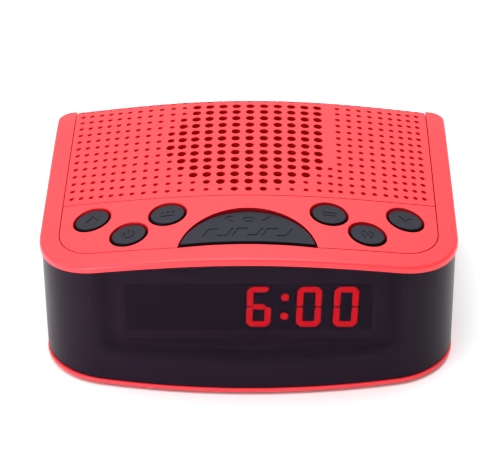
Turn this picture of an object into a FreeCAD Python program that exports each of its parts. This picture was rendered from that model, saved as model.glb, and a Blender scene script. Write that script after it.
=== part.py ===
import FreeCAD, Part
import os
from math import sqrt, sin, cos, tan, radians, pi, atan2

# Compact clock radio: a crescent-shaped cabinet with a wrap-round smoked lens,
# an arched top with speaker grille and button panel, and its working insides.
# Millimetres, +Z up, front faces -Y, origin at the centre of the footprint on
# the surface that the rubber feet stand on.

# ---------------------------------------------------------------- dimensions
WIDTH = 138.0          # over the top bezel
DEPTH_MID = 96.6       # front to back on the centre line
BEND = 0.002194        # plan curve of the front, back and all rows: y = BEND*x^2
BEND_R = 1.0 / (2.0 * BEND)
CORNER_F = 25.8        # plan radius of the front corners
CORNER_R = 4.0         # plan radius of the rear corners
FOOT_Z = 1.0           # underside of the base above the table
LIP_Z = 2.4            # top of the base lip, bottom of the lens
LIP_SIDE = 0.62        # lip set in at the sides and back
LIP_CORNER = 24.2      # plan radius of the lip's front corners
LENS_IN = 0.65         # lens set in behind bezel and lip
LENS_T = 2.0
FRAME_IN = 2.8         # inner chassis wall
FRAME_T = 1.8
ARCH2 = 0.0027979      # top surface falls by ARCH2*x^2 + ARCH4*x^4
ARCH4 = -8.02e-08
RIM_H = 2.46           # height of the bezel's vertical edge
PANEL_T = 2.4          # thickness of grille and button panel
LEDGE_T = 2.0
GROOVE_X = 62.4        # half width of the inset panels
GROOVE_F = 6.85        # front of the inset behind the front edge
GROOVE_R = 16.0        # inner corner radius of the inset
DIVIDE_D = 34.55       # grille and button panel meet here
SEAM = 0.32            # parting gap round the inset panels
# button positions: x, distance behind the front edge
BUTTONS = [(-51.5, 31.35), (-38.65, 19.25), (-26.35, 27.0),
           (26.35, 27.0), (38.65, 19.25), (51.5, 31.35)]
BTN_HOLE = 6.4
BTN_R = 5.6
TRAVEL = 1.0
SNOOZE_Y = 7.95        # straight edge of the snooze opening
SNOOZE_HALF = 22.5
SNOOZE_H = 19.6
SNOOZE_GAP = 0.7
# top profile along the depth: distance from the front edge, height
PROFILE = [(-6.0, 52.42), (0.0, 53.09), (9.114, 53.96), (18.228, 54.76),
           (36.456, 56.19), (54.684, 57.38), (72.912, 58.34), (80.0, 58.62),
           (86.0, 58.72), (91.14, 58.56), (94.786, 58.30), (98.432, 57.93),
           (104.0, 57.15), (112.0, 55.75)]
ROW_FIRST = 38.28      # last grille row nearest the buttons, from the front
ROW_PITCH = 4.357
ROWS = 14
SPK_Y = 64.6           # speaker axis behind the front edge
SPK_R = 28.5

V = FreeCAD.Vector


def box(x0, x1, y0, y1, z0, z1):
    return Part.makeBox(x1 - x0, y1 - y0, z1 - z0, V(x0, y0, z0))


def cyl(x, y, z0, z1, r):
    return Part.makeCylinder(r, z1 - z0, V(x, y, z0))


def cyl_y(x, y0, y1, z, r):
    return Part.makeCylinder(r, y1 - y0, V(x, y0, z), V(0, 1, 0))


def cyl_x(x0, x1, y, z, r):
    return Part.makeCylinder(r, x1 - x0, V(x0, y, z), V(1, 0, 0))


def rear_corner(inset, r):
    w = WIDTH / 2 - inset
    r2 = BEND_R + inset
    rr = max(r - inset, 0.6)
    cy = DEPTH_MID + BEND_R
    yc = cy - sqrt((r2 + rr) ** 2 - (w - rr) ** 2)
    return w, rr, yc, cy, r2


_w, _rr, _yc, _cy, _r2 = rear_corner(0.0, CORNER_R)
DEPTH = _yc + _rr                 # overall depth
YF = -DEPTH / 2.0                 # y of the front edge on the centre line


def outline(inset, side=0.0, corner=CORNER_F):
    """Closed plan outline of the cabinet, set in by inset, and by side more at the sides."""
    w = WIDTH / 2 - inset - side
    r1 = BEND_R - inset
    rc = corner - inset
    cy = YF + BEND_R
    yc = cy - sqrt((r1 - rc) ** 2 - (w - rc) ** 2)
    fx = w - rc
    n = sqrt(fx ** 2 + (yc - cy) ** 2)
    t1 = (fx / n * r1, cy + (yc - cy) / n * r1)
    mid_f = (fx + rc * cos(radians(-38)), yc + rc * sin(radians(-38)))
    _, rr, yr, cb, r2 = rear_corner(inset + side, CORNER_R)
    yr += YF
    cb += YF
    gx = w - rr
    m = sqrt(gx ** 2 + (yr - cb) ** 2)
    t2 = (gx / m * r2, cb + (yr - cb) / m * r2)
    mid_r = (gx + rr * cos(radians(45)), yr + rr * sin(radians(45)))
    e = []
    e.append(Part.Arc(V(-t1[0], t1[1], 0), V(0, cy - r1, 0), V(t1[0], t1[1], 0)).toShape())
    e.append(Part.Arc(V(t1[0], t1[1], 0), V(mid_f[0], mid_f[1], 0), V(w, yc, 0)).toShape())
    e.append(Part.LineSegment(V(w, yc, 0), V(w, yr, 0)).toShape())
    e.append(Part.Arc(V(w, yr, 0), V(mid_r[0], mid_r[1], 0), V(t2[0], t2[1], 0)).toShape())
    e.append(Part.Arc(V(t2[0], t2[1], 0), V(0, cb - r2, 0), V(-t2[0], t2[1], 0)).toShape())
    e.append(Part.Arc(V(-t2[0], t2[1], 0), V(-mid_r[0], mid_r[1], 0), V(-w, yr, 0)).toShape())
    e.append(Part.LineSegment(V(-w, yr, 0), V(-w, yc, 0)).toShape())
    e.append(Part.Arc(V(-w, yc, 0), V(-mid_f[0], mid_f[1], 0), V(-t1[0], t1[1], 0)).toShape())
    return Part.Wire(e)


def prism(wire, z0, z1):
    f = Part.Face(wire)
    f.translate(V(0, 0, z0))
    return f.extrude(V(0, 0, z1 - z0))


def body_prism(inset, z0, z1):
    return prism(outline(inset), z0, z1)


# ---------------------------------------------------------------- top surface
SURF_L = 76.0
_curve = Part.BSplineCurve()
_curve.interpolate([V(0, d, z) for d, z in PROFILE])


def height(d):
    lo, hi = _curve.FirstParameter, _curve.LastParameter
    for _ in range(48):
        t = 0.5 * (lo + hi)
        if _curve.value(t).y < d:
            lo = t
        else:
            hi = t
    return _curve.value(0.5 * (lo + hi)).z


def surf(x, y):
    return height(y - YF - BEND * x * x) - ARCH2 * x * x - ARCH4 * x ** 4


def surface(dz):
    L = SURF_L
    X = [-L, -L / 2, 0, L / 2, L]
    Q = [L * L, 0, -L * L / 3, 0, L * L]
    F = [L ** 4, -L ** 4, L ** 4, -L ** 4, L ** 4]
    poles = []
    cp = _curve.getPoles()
    for i in range(5):
        row = []
        for p in cp:
            row.append(V(X[i], YF + p.y + BEND * Q[i], p.z - ARCH2 * Q[i] - ARCH4 * F[i] + dz))
        poles.append(row)
    s = Part.BSplineSurface()
    s.buildFromPolesMultsKnots(poles, [5, 5], _curve.getMultiplicities(), [0, 1],
                               _curve.getKnots(), False, False, 4, _curve.Degree)
    return s.toShape()


def slab(top, bottom):
    """Solid between the top surface lowered by top and lowered by bottom."""
    return surface(-bottom).extrude(V(0, 0, bottom - top))


def below(depth):
    """Everything in the cabinet that lies more than depth under the top."""
    return surface(-depth).extrude(V(0, 0, -90))


# ---------------------------------------------------------------- inset panels
def inset_wire(off, y_back=None, front_cut=None):
    """Outline of the inset, grown by off; runs out past the back."""
    w = GROOVE_X + off
    r1 = BEND_R - GROOVE_F + off
    rc = GROOVE_R + off
    cy = YF + BEND_R
    yc = cy - sqrt((r1 - rc) ** 2 - (w - rc) ** 2)
    fx = w - rc
    n = sqrt(fx ** 2 + (yc - cy) ** 2)
    t1 = (fx / n * r1, cy + (yc - cy) / n * r1)
    mid_f = (fx + rc * cos(radians(-38)), yc + rc * sin(radians(-38)))
    yb = YF + 125.0
    # flat of the snooze opening meets the curved groove at +-xs
    ys = YF + SNOOZE_Y - off
    xs = sqrt(max(r1 ** 2 - (cy - ys) ** 2, 1.0))
    e = [Part.Arc(V(-t1[0], t1[1], 0),
                  V(-0.5 * (t1[0] + xs), cy - sqrt(r1 ** 2 - (0.5 * (t1[0] + xs)) ** 2), 0),
                  V(-xs, ys, 0)).toShape(),
         Part.LineSegment(V(-xs, ys, 0), V(xs, ys, 0)).toShape(),
         Part.Arc(V(xs, ys, 0),
                  V(0.5 * (t1[0] + xs), cy - sqrt(r1 ** 2 - (0.5 * (t1[0] + xs)) ** 2), 0),
                  V(t1[0], t1[1], 0)).toShape(),
         Part.Arc(V(t1[0], t1[1], 0), V(mid_f[0], mid_f[1], 0), V(w, yc, 0)).toShape(),
         Part.LineSegment(V(w, yc, 0), V(w, yb, 0)).toShape(),
         Part.LineSegment(V(w, yb, 0), V(-w, yb, 0)).toShape(),
         Part.LineSegment(V(-w, yb, 0), V(-w, yc, 0)).toShape(),
         Part.Arc(V(-w, yc, 0), V(-mid_f[0], mid_f[1], 0), V(-t1[0], t1[1], 0)).toShape()]
    return Part.Wire(e)


def band_prism(d0, d1, z0, z1, half=75.0):
    """Curved strip between two rows at d0 and d1 behind the front edge."""
    def arc(d, flip):
        c = YF + d + BEND_R
        y = c - sqrt(BEND_R ** 2 - half ** 2)
        a, b = V(-half, y, 0), V(half, y, 0)
        if flip:
            a, b = b, a
        return Part.Arc(a, V(0, YF + d, 0), b).toShape(), y
    a0, y0 = arc(d0, False)
    a1, y1 = arc(d1, True)
    w = Part.Wire([a0, Part.LineSegment(V(half, y0, 0), V(half, y1, 0)).toShape(), a1,
                   Part.LineSegment(V(-half, y1, 0), V(-half, y0, 0)).toShape()])
    return prism(w, z0, z1)


def half_moon(half, height_, y0, z0, z1):
    r = (half ** 2 + height_ ** 2) / (2.0 * height_)
    w = Part.Wire([Part.LineSegment(V(-half, y0, 0), V(half, y0, 0)).toShape(),
                   Part.Arc(V(half, y0, 0), V(0, y0 + height_, 0), V(-half, y0, 0)).toShape()])
    return prism(w, z0, z1)


def fuse(shapes):
    s = shapes[0].fuse(shapes[1:]) if len(shapes) > 1 else shapes[0]
    return s.removeSplitter()


def cut(a, tools):
    return a.cut(tools) if isinstance(tools, list) else a.cut([tools])


def try_fillet(shape, edges, r):
    """Round the given edges if a sound solid results."""
    if not edges:
        return shape
    try:
        f = shape.makeFillet(r, edges)
        if f.isValid() and abs(f.Volume - shape.Volume) < 0.2 * shape.Volume and f.Volume > 0:
            return f
    except Exception:
        pass
    return shape


def cut_sound(shape, tools, step=40):
    """Cut many small tools in groups; a group that spoils the solid is halved."""
    for k in range(0, len(tools), step):
        group = tools[k:k + step]
        r = shape.cut(group)
        if r.isValid() and len(r.Solids) == 1 and 0.5 * shape.Volume < r.Volume < shape.Volume:
            shape = r.Solids[0]
        elif len(group) > 1:
            shape = cut_sound(shape, group, (len(group) + 1) // 2)
        else:
            moved = group[0].copy()
            moved.translate(V(0.03, -0.05, 0.02))
            r = shape.cut([moved])
            good = r.isValid() and len(r.Solids) == 1
            print("single hole moved", group[0].BoundBox.Center, good)
            if good:
                shape = r.Solids[0]
    return shape


PARTS = {}


def keep(name, shape):
    sol = shape.Solids
    if len(sol) == 1:
        shape = sol[0]
    elif len(sol) > 1:
        shape = Part.makeCompound(sol)
    PARTS[name] = shape
    bb = shape.BoundBox
    print("%-22s solids %2d valid %s vol %9.1f  x %7.2f %7.2f  y %7.2f %7.2f  z %6.2f %6.2f" % (
        name, len(sol), shape.isValid(), shape.Volume, bb.XMin, bb.XMax, bb.YMin, bb.YMax,
        bb.ZMin, bb.ZMax))


# ================================================================ enclosure
BOSSES = [(-58.0, YF + 42.0), (58.0, YF + 42.0), (-58.5, YF + 95.0), (58.5, YF + 95.0)]
FEET = [(-50.0, YF + 22.0), (50.0, YF + 22.0), (-50.0, YF + 93.0), (50.0, YF + 93.0)]
PCB_POSTS = [(-46.0, YF + 22.0), (26.0, YF + 22.0), (-46.0, YF + 49.5), (26.0, YF + 49.5)]
BAY = (-60.0, -12.0, YF + 58.0, YF + 81.0)        # battery bay opening
DOOR = (-61.6, -10.4, YF + 56.3, YF + 82.7)
DOOR_SLIDE = 8.0

# --- base tray with its proud lip
base = prism(outline(0.0, LIP_SIDE, LIP_CORNER), FOOT_Z, LIP_Z)
low = [e for e in base.Edges if abs(e.BoundBox.ZMin - FOOT_Z) < 1e-6 and abs(e.BoundBox.ZMax - FOOT_Z) < 1e-6]
base = try_fillet(base, low, 0.8)
lip_top = [e for e in base.Edges if abs(e.BoundBox.ZMin - LIP_Z) < 1e-6 and abs(e.BoundBox.ZMax - LIP_Z) < 1e-6]
base = try_fillet(base, lip_top, 0.35)
print("base faces", len(base.Faces))
inner = body_prism(2.8, LIP_Z - 0.4, 3.0)
rim = body_prism(4.75, 2.5, 7.0).cut(body_prism(6.35, 1.0, 9.0))
adds = [inner, rim, box(-64.0, -8.0, YF + 46.9, YF + 84.2, 1.5, 4.2)]
bx0, bx1, by0, by1 = BAY
adds.append(box(bx0 - 1.4, bx1 + 1.4, by0 - 1.4, by1 + 1.4, 2.0, 15.6))
for x, y in BOSSES:
    adds.append(cyl(x, y, 2.0, 25.0, 4.2))
for x, y in PCB_POSTS:
    adds.append(cyl(x, y, 2.0, 12.0, 2.8))
# standoffs of the transformer
TX = (34.0, 62.0, YF + 55.0, YF + 89.0)
for x in (37.7, 58.3):
    for y in (TX[2] + 3.0, TX[3] - 3.0):
        adds.append(cyl(x, y, 2.0, 5.0, 3.2))
base = fuse([base] + adds)
cuts = [box(DOOR[0] - 0.3, DOOR[1] + 0.3, DOOR[2] - DOOR_SLIDE - 0.3, DOOR[3] + 0.3, 0.0, 2.7),
        box(DOOR[0] - 1.5, DOOR[1] + 1.5, DOOR[2] - DOOR_SLIDE - 0.3, DOOR[3] + 0.3, 1.6, 2.7),
        box(bx0, bx1, by0, by1, 0.0, 14.2)]
for x, y in BOSSES:
    cuts += [cyl(x, y, 0.0, 4.2, 3.0), cyl(x, y, 4.0, 26.0, 1.7)]
for x, y in FEET:
    cuts.append(cyl(x, y, 0.0, FOOT_Z + 0.6, 5.0))
for x, y in PCB_POSTS:
    cuts.append(cyl(x, y, 3.6, 12.5, 1.0))
for x in (37.7, 58.3):
    for y in (TX[2] + 3.0, TX[3] - 3.0):
        cuts.append(cyl(x, y, 2.4, 5.5, 1.1))
# contact slots through the bay's end walls
# row of ventilation slots under the transformer
for i in range(7):
    x = 36.0 + 4.0 * i
    cuts.append(box(x, x + 1.6, YF + 62.0, YF + 82.0, 0.0, 4.5))
base = cut(base, cuts)
keep("base_shell", base)

# --- battery door
dx0, dx1, dy0, dy1 = DOOR
door = fuse([box(dx0, dx1, dy0, dy1, FOOT_Z, 2.4),
             box(dx0 - 1.0, dx1 + 1.0, dy0 + 2.0, dy1 - 2.0, 1.8, 2.4)])
grip = [box(dx0 + 16.0, dx1 - 16.0, dy0 + 3.0 + 2.0 * i, dy0 + 4.0 + 2.0 * i, 0.0, FOOT_Z + 0.5) for i in range(4)]
door = cut(door, grip)
keep("battery_door", door)

# --- feet
feet = [cyl(x, y, 0.0, FOOT_Z + 0.6, 4.95) for x, y in FEET]
keep("rubber_feet", Part.makeCompound(feet))

# --- inner chassis wall behind the lens
frame = body_prism(FRAME_IN, 3.0, 62.0).cut(body_prism(FRAME_IN + FRAME_T, 2.0, 63.0))
frame = frame.common(below(LEDGE_T + RIM_H + 0.1))
# the frame stops where the rear cover takes over
REAR_D = DEPTH_MID - 6.0
frame = frame.cut(band_prism(REAR_D - 0.2, 130.0, -5.0, 90.0))
DISP = (-39.9, 40.2, YF + 6.5, YF + 13.4, 21.8, 39.4)
# recess with a flat surround in the plane of the display
nook = box(-42.6, 42.6, YF + 2.0, YF + 7.9, 16.6, 47.0).common(body_prism(FRAME_IN, 10.0, 60.0))
nook = nook.common(below(LEDGE_T + RIM_H + 0.1))
frame = fuse([frame, nook])
frame = frame.cut(box(-41.3, 41.3, YF - 5.0, YF + 6.6, 17.9, 45.8))
frame = frame.cut(box(DISP[0] - 0.12, DISP[1] + 0.12, YF - 5.0, YF + 12.0, DISP[4] - 0.12, DISP[5] + 0.12))
SCR_D = [(-44.9, 31.0), (43.4, 31.0)]
posts = []
for x, z in SCR_D:
    y_in = YF + FRAME_IN + 0.7 + BEND * x * x
    posts.append(cyl_y(x, y_in, DISP[3], z, 2.4))
frame = fuse([frame] + posts)
frame = frame.cut([cyl_y(x, YF + 9.4, YF + 14.0, z, 0.9) for x, z in SCR_D])
keep("chassis_frame", frame)

# --- wrap-round smoked lens
lens = body_prism(LENS_IN, LIP_Z, 62.0).cut(body_prism(LENS_IN + LENS_T, 0.0, 63.0))
lens = lens.common(below(RIM_H + 0.25))
lens = lens.cut(band_prism(REAR_D, 130.0, -5.0, 90.0))
keep("front_lens", lens)

# --- rear cover
rear = body_prism(LENS_IN, LIP_Z, 62.0).cut(body_prism(LENS_IN + LENS_T, 0.0, 63.0))
rear = rear.common(below(RIM_H + 0.25))
rear = rear.common(band_prism(REAR_D + 0.15, 130.0, -5.0, 90.0))
GL_X, GL_Z = 40.0, 15.0
pad_y = YF + DEPTH_MID - LENS_IN + BEND * 32.5 ** 2 - 0.4
pad = box(GL_X - 7.5, GL_X + 7.5, pad_y - 2.0, pad_y, GL_Z - 7.5, GL_Z + 7.5)
well = box(GL_X - 6.4, GL_X + 6.4, pad_y, pad_y + 12.0, GL_Z - 6.4, GL_Z + 6.4)
collar = box(GL_X - 7.5, GL_X + 7.5, pad_y - 1.0, pad_y + 4.0, GL_Z - 7.5, GL_Z + 7.5)
collar = collar.common(body_prism(LENS_IN, 0.0, 60.0))
rear = fuse([rear, pad, collar])
vents = [well, cyl_y(GL_X, pad_y - 4.0, pad_y + 4.0, GL_Z, 4.0)]
for i in range(9):
    x = -28.0 + 7.0 * i
    if x > 30.0:
        continue
    y = YF + DEPTH_MID + BEND * x * x
    vents.append(box(x - 0.9, x + 0.9, y - 8.0, y + 3.0, 30.0, 46.0))
rear = cut(rear, vents)
keep("rear_cover", rear)

# --- cord bush in the rear wall
bush = fuse([cyl_y(GL_X, pad_y - 3.6, pad_y + 0.1, GL_Z, 3.95), cyl_y(GL_X, pad_y, pad_y + 1.6, GL_Z, 5.6),
             cyl_y(GL_X, pad_y - 5.2, pad_y - 2.0, GL_Z, 5.0)])
bush = fuse([bush, Part.makeCone(5.0, 3.6, 6.5, V(GL_X, pad_y + 1.5, GL_Z), V(0, 1, 0))])
bush = cut(bush, cyl_y(GL_X, pad_y - 8.0, pad_y + 12.0, GL_Z, 2.3))
keep("cord_bush", bush)
BUSH_Y0, BUSH_Y1 = pad_y - 5.2, pad_y + 8.0

# --- top bezel: U-shaped rim with a ledge that carries the panels
bezel = body_prism(0.0, 30.0, 70.0).common(slab(0.0, RIM_H))
ledge = body_prism(FRAME_IN + 0.15, 30.0, 70.0).common(slab(RIM_H - 0.05, RIM_H + LEDGE_T))
bez = fuse([bezel, ledge])
pocket = prism(inset_wire(0.0), 20.0, 80.0).common(slab(-8.0, PANEL_T + 0.07))
opening = prism(inset_wire(-1.8), 20.0, 80.0).common(body_prism(6.4, 20.0, 80.0))
bez = cut(bez, [pocket, opening, cyl(0, YF + SPK_Y, 30.0, 56.3, SPK_R + 0.8)])
bp = [cyl(x, y, 25.0, 66.0, 3.4) for x, y in BOSSES]
bp = [b.common(below(PANEL_T + 0.07)) for b in bp]
bez = fuse([bez] + bp)
bez = cut(bez, [cyl(x, y, 24.0, 36.0, 1.2) for x, y in BOSSES])
top_edges = []
for e in bez.Edges:
    p = e.valueAt(0.5 * (e.FirstParameter + e.LastParameter))
    if abs(p.z - surf(p.x, p.y)) < 0.02 and e.Length > 2.0:
        q = e.valueAt(e.FirstParameter + 0.3 * (e.LastParameter - e.FirstParameter))
        ox = Part.Vertex(V(p.x, p.y, 0)).distToShape(outline(0.0))[0]
        oq = Part.Vertex(V(q.x, q.y, 0)).distToShape(outline(0.0))[0]
        if ox < 0.02 and oq < 0.02:
            top_edges.append(e)
print("bezel outer edges", len(top_edges))
bez = try_fillet(bez, top_edges, 1.1)
keep("top_bezel", bez)

# --- button panel
panel = prism(inset_wire(-SEAM), 20.0, 80.0).common(slab(0.0, PANEL_T))
panel = panel.common(band_prism(-10.0, DIVIDE_D - SEAM / 2, 0.0, 90.0))
holes = [cyl(x, YF + d, 30.0, 70.0, BTN_HOLE) for x, d in BUTTONS]
holes.append(half_moon(SNOOZE_HALF, SNOOZE_H, YF + SNOOZE_Y, 30.0, 70.0))
holes.append(box(-SNOOZE_HALF, SNOOZE_HALF, YF + SNOOZE_Y - 3.0, YF + SNOOZE_Y + 0.05, 30.0, 70.0))
panel = cut(panel, holes)
CARRY_Z0, CARRY_Z1 = 40.0, 41.4
PPOST = [(-14.5, YF + 32.2), (14.5, YF + 32.2), (-49.0, YF + 17.5), (49.0, YF + 17.5)]
pp = [cyl(x, y, CARRY_Z1, 66.0, 2.4).common(below(PANEL_T - 0.3)) for x, y in PPOST]
panel = fuse([panel] + pp)
panel = cut(panel, [cyl(x, y, CARRY_Z1 - 1.0, CARRY_Z1 + 5.0, 0.85) for x, y in PPOST])
keep("button_panel", panel)

# --- speaker grille with graded hole field
grille = prism(inset_wire(-SEAM), 20.0, 80.0).common(slab(0.0, PANEL_T))
grille = grille.common(band_prism(DIVIDE_D + SEAM / 2, DEPTH_MID, 0.0, 90.0))
te = []
for e in grille.Edges:
    p = e.valueAt(0.5 * (e.FirstParameter + e.LastParameter))
    if abs(p.z - surf(p.x, p.y)) < 0.02 and abs(p.y - (YF + DEPTH_MID)) < 0.1 and e.Length > 60.0:
        te.append(e)
print("grille rear edge", len(te))
grille = try_fillet(grille, te, 2.0)
# columns: wide pitch over the speaker, closer towards the sides
left = [0.0]
for p in [4.75, 4.65, 4.65, 4.55, 4.35, 4.0, 4.15, 3.9, 3.8, 3.7, 3.5, 3.35, 3.4, 3.45, 3.3]:
    left.append(left[-1] - p)
mid_x = [4.85, 9.6, 14.3, 18.95, 23.4]            # right columns over the speaker
SIDE_X = [30.4, 34.3, 38.0, 41.8, 45.6, 49.1, 52.4, 55.6, 58.65]   # right side field
SIDE_ROWS = 15
BIG, MID, SMALL = 1.5, 1.2, 0.88
SPK_D = 65.9
GR = 27.9
big, small = [], []


def put(x, d, r, last=False):
    y = YF + d + BEND * x * x
    z = surf(x, y)
    if last:
        small.append(Part.makeCylinder(min(r, 1.1), 4.0, V(x, y, z - 1.9)))
    elif r > 1.0:
        big.append(Part.makeCylinder(r, 6.0, V(x, y, z - PANEL_T - 0.35)))
    else:
        small.append(Part.makeCylinder(r, 4.0, V(x, y, z - 1.35)))


for i in range(ROWS):
    d = ROW_FIRST + ROW_PITCH * i
    cols = left + mid_x + ([27.2] if i < 4 else [])
    for x in cols:
        rad = sqrt(x * x + (d - SPK_D) ** 2)
        top = i >= 8 and -21.0 < x < 25.0
        r = BIG if (rad < GR - 0.9 or top) else (MID if rad < GR + 0.5 else SMALL)
        put(x, d, r, i == ROWS - 1)
p_side = ROW_PITCH * (ROWS - 1) / (SIDE_ROWS - 1)
for i in range(SIDE_ROWS):
    for x in SIDE_X:
        put(x, ROW_FIRST + p_side * i, SMALL, i == SIDE_ROWS - 1)
print("holes", len(big), len(small))
grille = cut_sound(grille, big)
grille = cut_sound(grille, small)
keep("speaker_grille", grille)

# --- baffle ring and screw posts under the grille
ring = cyl(0, YF + SPK_Y, 50.5, 66.0, 29.0).cut(cyl(0, YF + SPK_Y, 49.0, 67.0, 27.0))
ring = ring.common(below(PANEL_T))
SPOST = []
for a in (38, 142, 218, 322):
    SPOST.append((30.9 * cos(radians(a)), YF + SPK_Y + 30.9 * sin(radians(a))))
sp = [cyl(x, y, 49.7, 66.0, 2.2).common(below(PANEL_T)) for x, y in SPOST]
ring = fuse([ring] + sp)
ring = cut(ring, [cyl(x, y, 48.0, 54.0, 0.85) for x, y in SPOST])
keep("speaker_ring", ring)

# ================================================================ buttons
KEY_Z0, KEY_Z1 = 33.0, 34.6
SW_H = 3.5
PLG_Z = 39.6           # top of the switch plungers
caps = {}


def cap_block(x0, x1, y0, y1, z_mid, xc, thick):
    """Block whose top follows the arch across x and is level front to back."""
    n = 8
    pts = []
    for k in range(n + 1):
        x = x0 + (x1 - x0) * k / n
        dz = -ARCH2 * (x * x - xc * xc) - ARCH4 * (x ** 4 - xc ** 4)
        pts.append(V(x, y0, z_mid + dz))
    c = Part.BSplineCurve()
    c.interpolate(pts)
    zb = min(p.z for p in pts) - thick
    w = Part.Wire([c.toShape(), Part.LineSegment(pts[-1], V(x1, y0, zb)).toShape(),
                   Part.LineSegment(V(x1, y0, zb), V(x0, y0, zb)).toShape(),
                   Part.LineSegment(V(x0, y0, zb), pts[0]).toShape()])
    return Part.Face(w).extrude(V(0, y1 - y0, 0)), zb


def min_under(x, y, r):
    m = 1e9
    for k in range(24):
        a = 2 * pi * k / 24
        m = min(m, surf(x + r * cos(a), y + r * sin(a)))
    return m - PANEL_T


sw = []
for n, (x, d) in enumerate(BUTTONS):
    y = YF + d
    ax = abs(x)                       # the two sides mirror each other
    zt = surf(ax, y) - 0.08
    blk, zb = cap_block(ax - 7, ax + 7, y - 7, y + 7, zt, ax, 12.0)
    fz1 = min_under(ax, y, 7.0) - 0.35
    fz0 = fz1 - 1.0
    cap = blk.common(cyl(ax, y, fz0 - 0.2, 70.0, BTN_R))
    cap = cap.cut(box(ax - 8, ax + 8, y - 8, y + 8, 0.0, fz0))
    te = [e for e in cap.Edges if e.BoundBox.ZMin > fz1 + 1.0 and e.Length > 8.0]
    cap = try_fillet(cap, te, 0.45)
    cap = fuse([cap, cyl(ax, y, fz0, fz1, 6.8), cyl(ax, y, PLG_Z, fz0 + 0.2, 2.0)])
    if x < 0:
        cap = cap.mirror(V(0, 0, 0), V(1, 0, 0))
    keep("button_%d" % (n + 1), cap)
    keep("plunger_%d" % (n + 1), cyl(x, y, KEY_Z1 + 1.6, PLG_Z, 1.7))
    body = box(x - 3, x + 3, y - 3, y + 3, KEY_Z1, KEY_Z1 + SW_H)
    sw.append(body.cut([cyl(x, y, KEY_Z1 + 0.4, KEY_Z1 + 9.0, 1.76)]))

# --- snooze bar
sy0 = YF + SNOOZE_Y + 0.75
shalf = SNOOZE_HALF - 0.75
r_open = (SNOOZE_HALF ** 2 + SNOOZE_H ** 2) / (2 * SNOOZE_H)
cy_open = YF + SNOOZE_Y + SNOOZE_H - r_open
r_cap = r_open - SNOOZE_GAP
shalf = sqrt(r_cap ** 2 - (sy0 - cy_open) ** 2)
sh = cy_open + r_cap - sy0
zt = surf(0, YF + 17.2) - 0.1
blk, zb = cap_block(-24, 24, YF + 5, YF + 30, zt, 0.0, 12.0)
sn = blk.common(half_moon(shalf, sh, sy0, 20.0, 70.0))
und = min(surf(21.0, YF + 12.0), surf(0.0, YF + 8.5), surf(23.5, YF + 10.0)) - PANEL_T - 0.35
sn = sn.cut(box(-30, 30, YF, YF + 40, 0.0, und - 1.2))
te = [e for e in sn.Edges if e.BoundBox.ZMin > und + 1.5 and e.Length > 10.0]
sn = try_fillet(sn, te, 0.5)
flange = half_moon(shalf + 1.5, sh + 1.3, sy0 + 0.02, und - 1.2, und)
flange = flange.cut(box(-30, 30, YF, YF + 10.15, 0, 80))
sn = sn.cut(below(PANEL_T - TRAVEL - 0.3).common(box(-30, 30, YF, YF + 10.15, 0, 80)))
sn = fuse([sn, flange, cyl(0, YF + 19.2, PLG_Z, und - 1.0, 2.0),
           cyl(-13.0, YF + 19.2, CARRY_Z0 - 1.5, und - 1.0, 2.0), cyl(13.0, YF + 19.2, CARRY_Z0 - 1.5, und - 1.0, 2.0)])
keep("snooze_button", sn)
keep("plunger_snooze", cyl(0, YF + 19.2, KEY_Z1 + 1.6, PLG_Z, 1.7))
body = box(-3, 3, YF + 16.2, YF + 22.2, KEY_Z1, KEY_Z1 + SW_H)
sw.append(body.cut([cyl(0, YF + 19.2, KEY_Z1 + 0.4, KEY_Z1 + 9.0, 1.76)]))
keep("switch_bodies", Part.makeCompound(sw))

# --- guide plate that keeps the stems upright
car = fuse([box(-56.0, 56.0, YF + 24.0, YF + 36.2, CARRY_Z0, CARRY_Z1),
            box(-52.5, 52.5, YF + 15.4, YF + 24.5, CARRY_Z0, CARRY_Z1)])
LEGS = [(-30.0, YF + 33.4), (30.0, YF + 33.4), (-22.0, YF + 17.9), (22.0, YF + 17.9)]
car = fuse([car] + [cyl(x, y, KEY_Z1, CARRY_Z0 + 0.2, 2.2) for x, y in LEGS])
gh = [cyl(x, YF + d, CARRY_Z0 - 1, CARRY_Z1 + 1, 2.08) for x, d in BUTTONS]
gh += [cyl(x, YF + 19.2, CARRY_Z0 - 1, CARRY_Z1 + 1, 2.08) for x in (-13.0, 0.0, 13.0)]
gh += [cyl(x, y, KEY_Z1 - 1, KEY_Z1 + 4.5, 0.85) for x, y in LEGS]
gh += [cyl(x, y, CARRY_Z0 - 1, CARRY_Z1 + 1, 1.2) for x, y in PPOST]
car = cut(car, gh)
keep("button_guide", car)

# --- key board
kb = box(-57.0, 57.0, YF + 15.2, YF + 36.3, KEY_Z0, KEY_Z1)
kb = cut(kb, [cyl(x, y, KEY_Z0 - 1, KEY_Z1 + 1, 1.2) for x, y in LEGS])
keep("key_board", kb)


def screw(x, y, z_head, z_tip, r, rh, hh):
    """Pan-head screw driven upwards: head at z_head going down, tip at z_tip."""
    s = fuse([cyl(x, y, z_head - hh, z_head, rh), cyl(x, y, z_head - 0.1, z_tip, r)])
    slot = fuse([box(x - rh * 0.6, x + rh * 0.6, y - 0.25, y + 0.25, z_head - hh - 0.1, z_head - hh + 0.7),
                 box(x - 0.25, x + 0.25, y - rh * 0.6, y + rh * 0.6, z_head - hh - 0.1, z_head - hh + 0.7)])
    return s.cut(slot)


keep("case_screws", Part.makeCompound([screw(x, y, 4.2, 34.0, 1.35, 2.7, 2.0) for x, y in BOSSES]))
keep("key_board_screws", Part.makeCompound([screw(x, y, KEY_Z0, KEY_Z1 + 3.6, 1.0, 1.9, 1.3) for x, y in LEGS]))
keep("panel_screws", Part.makeCompound([screw(x, y, CARRY_Z0, CARRY_Z1 + 4.2, 1.0, 1.9, 1.3) for x, y in PPOST]))

# ================================================================ speaker
sx, syy = 0.0, YF + SPK_Y


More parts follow.
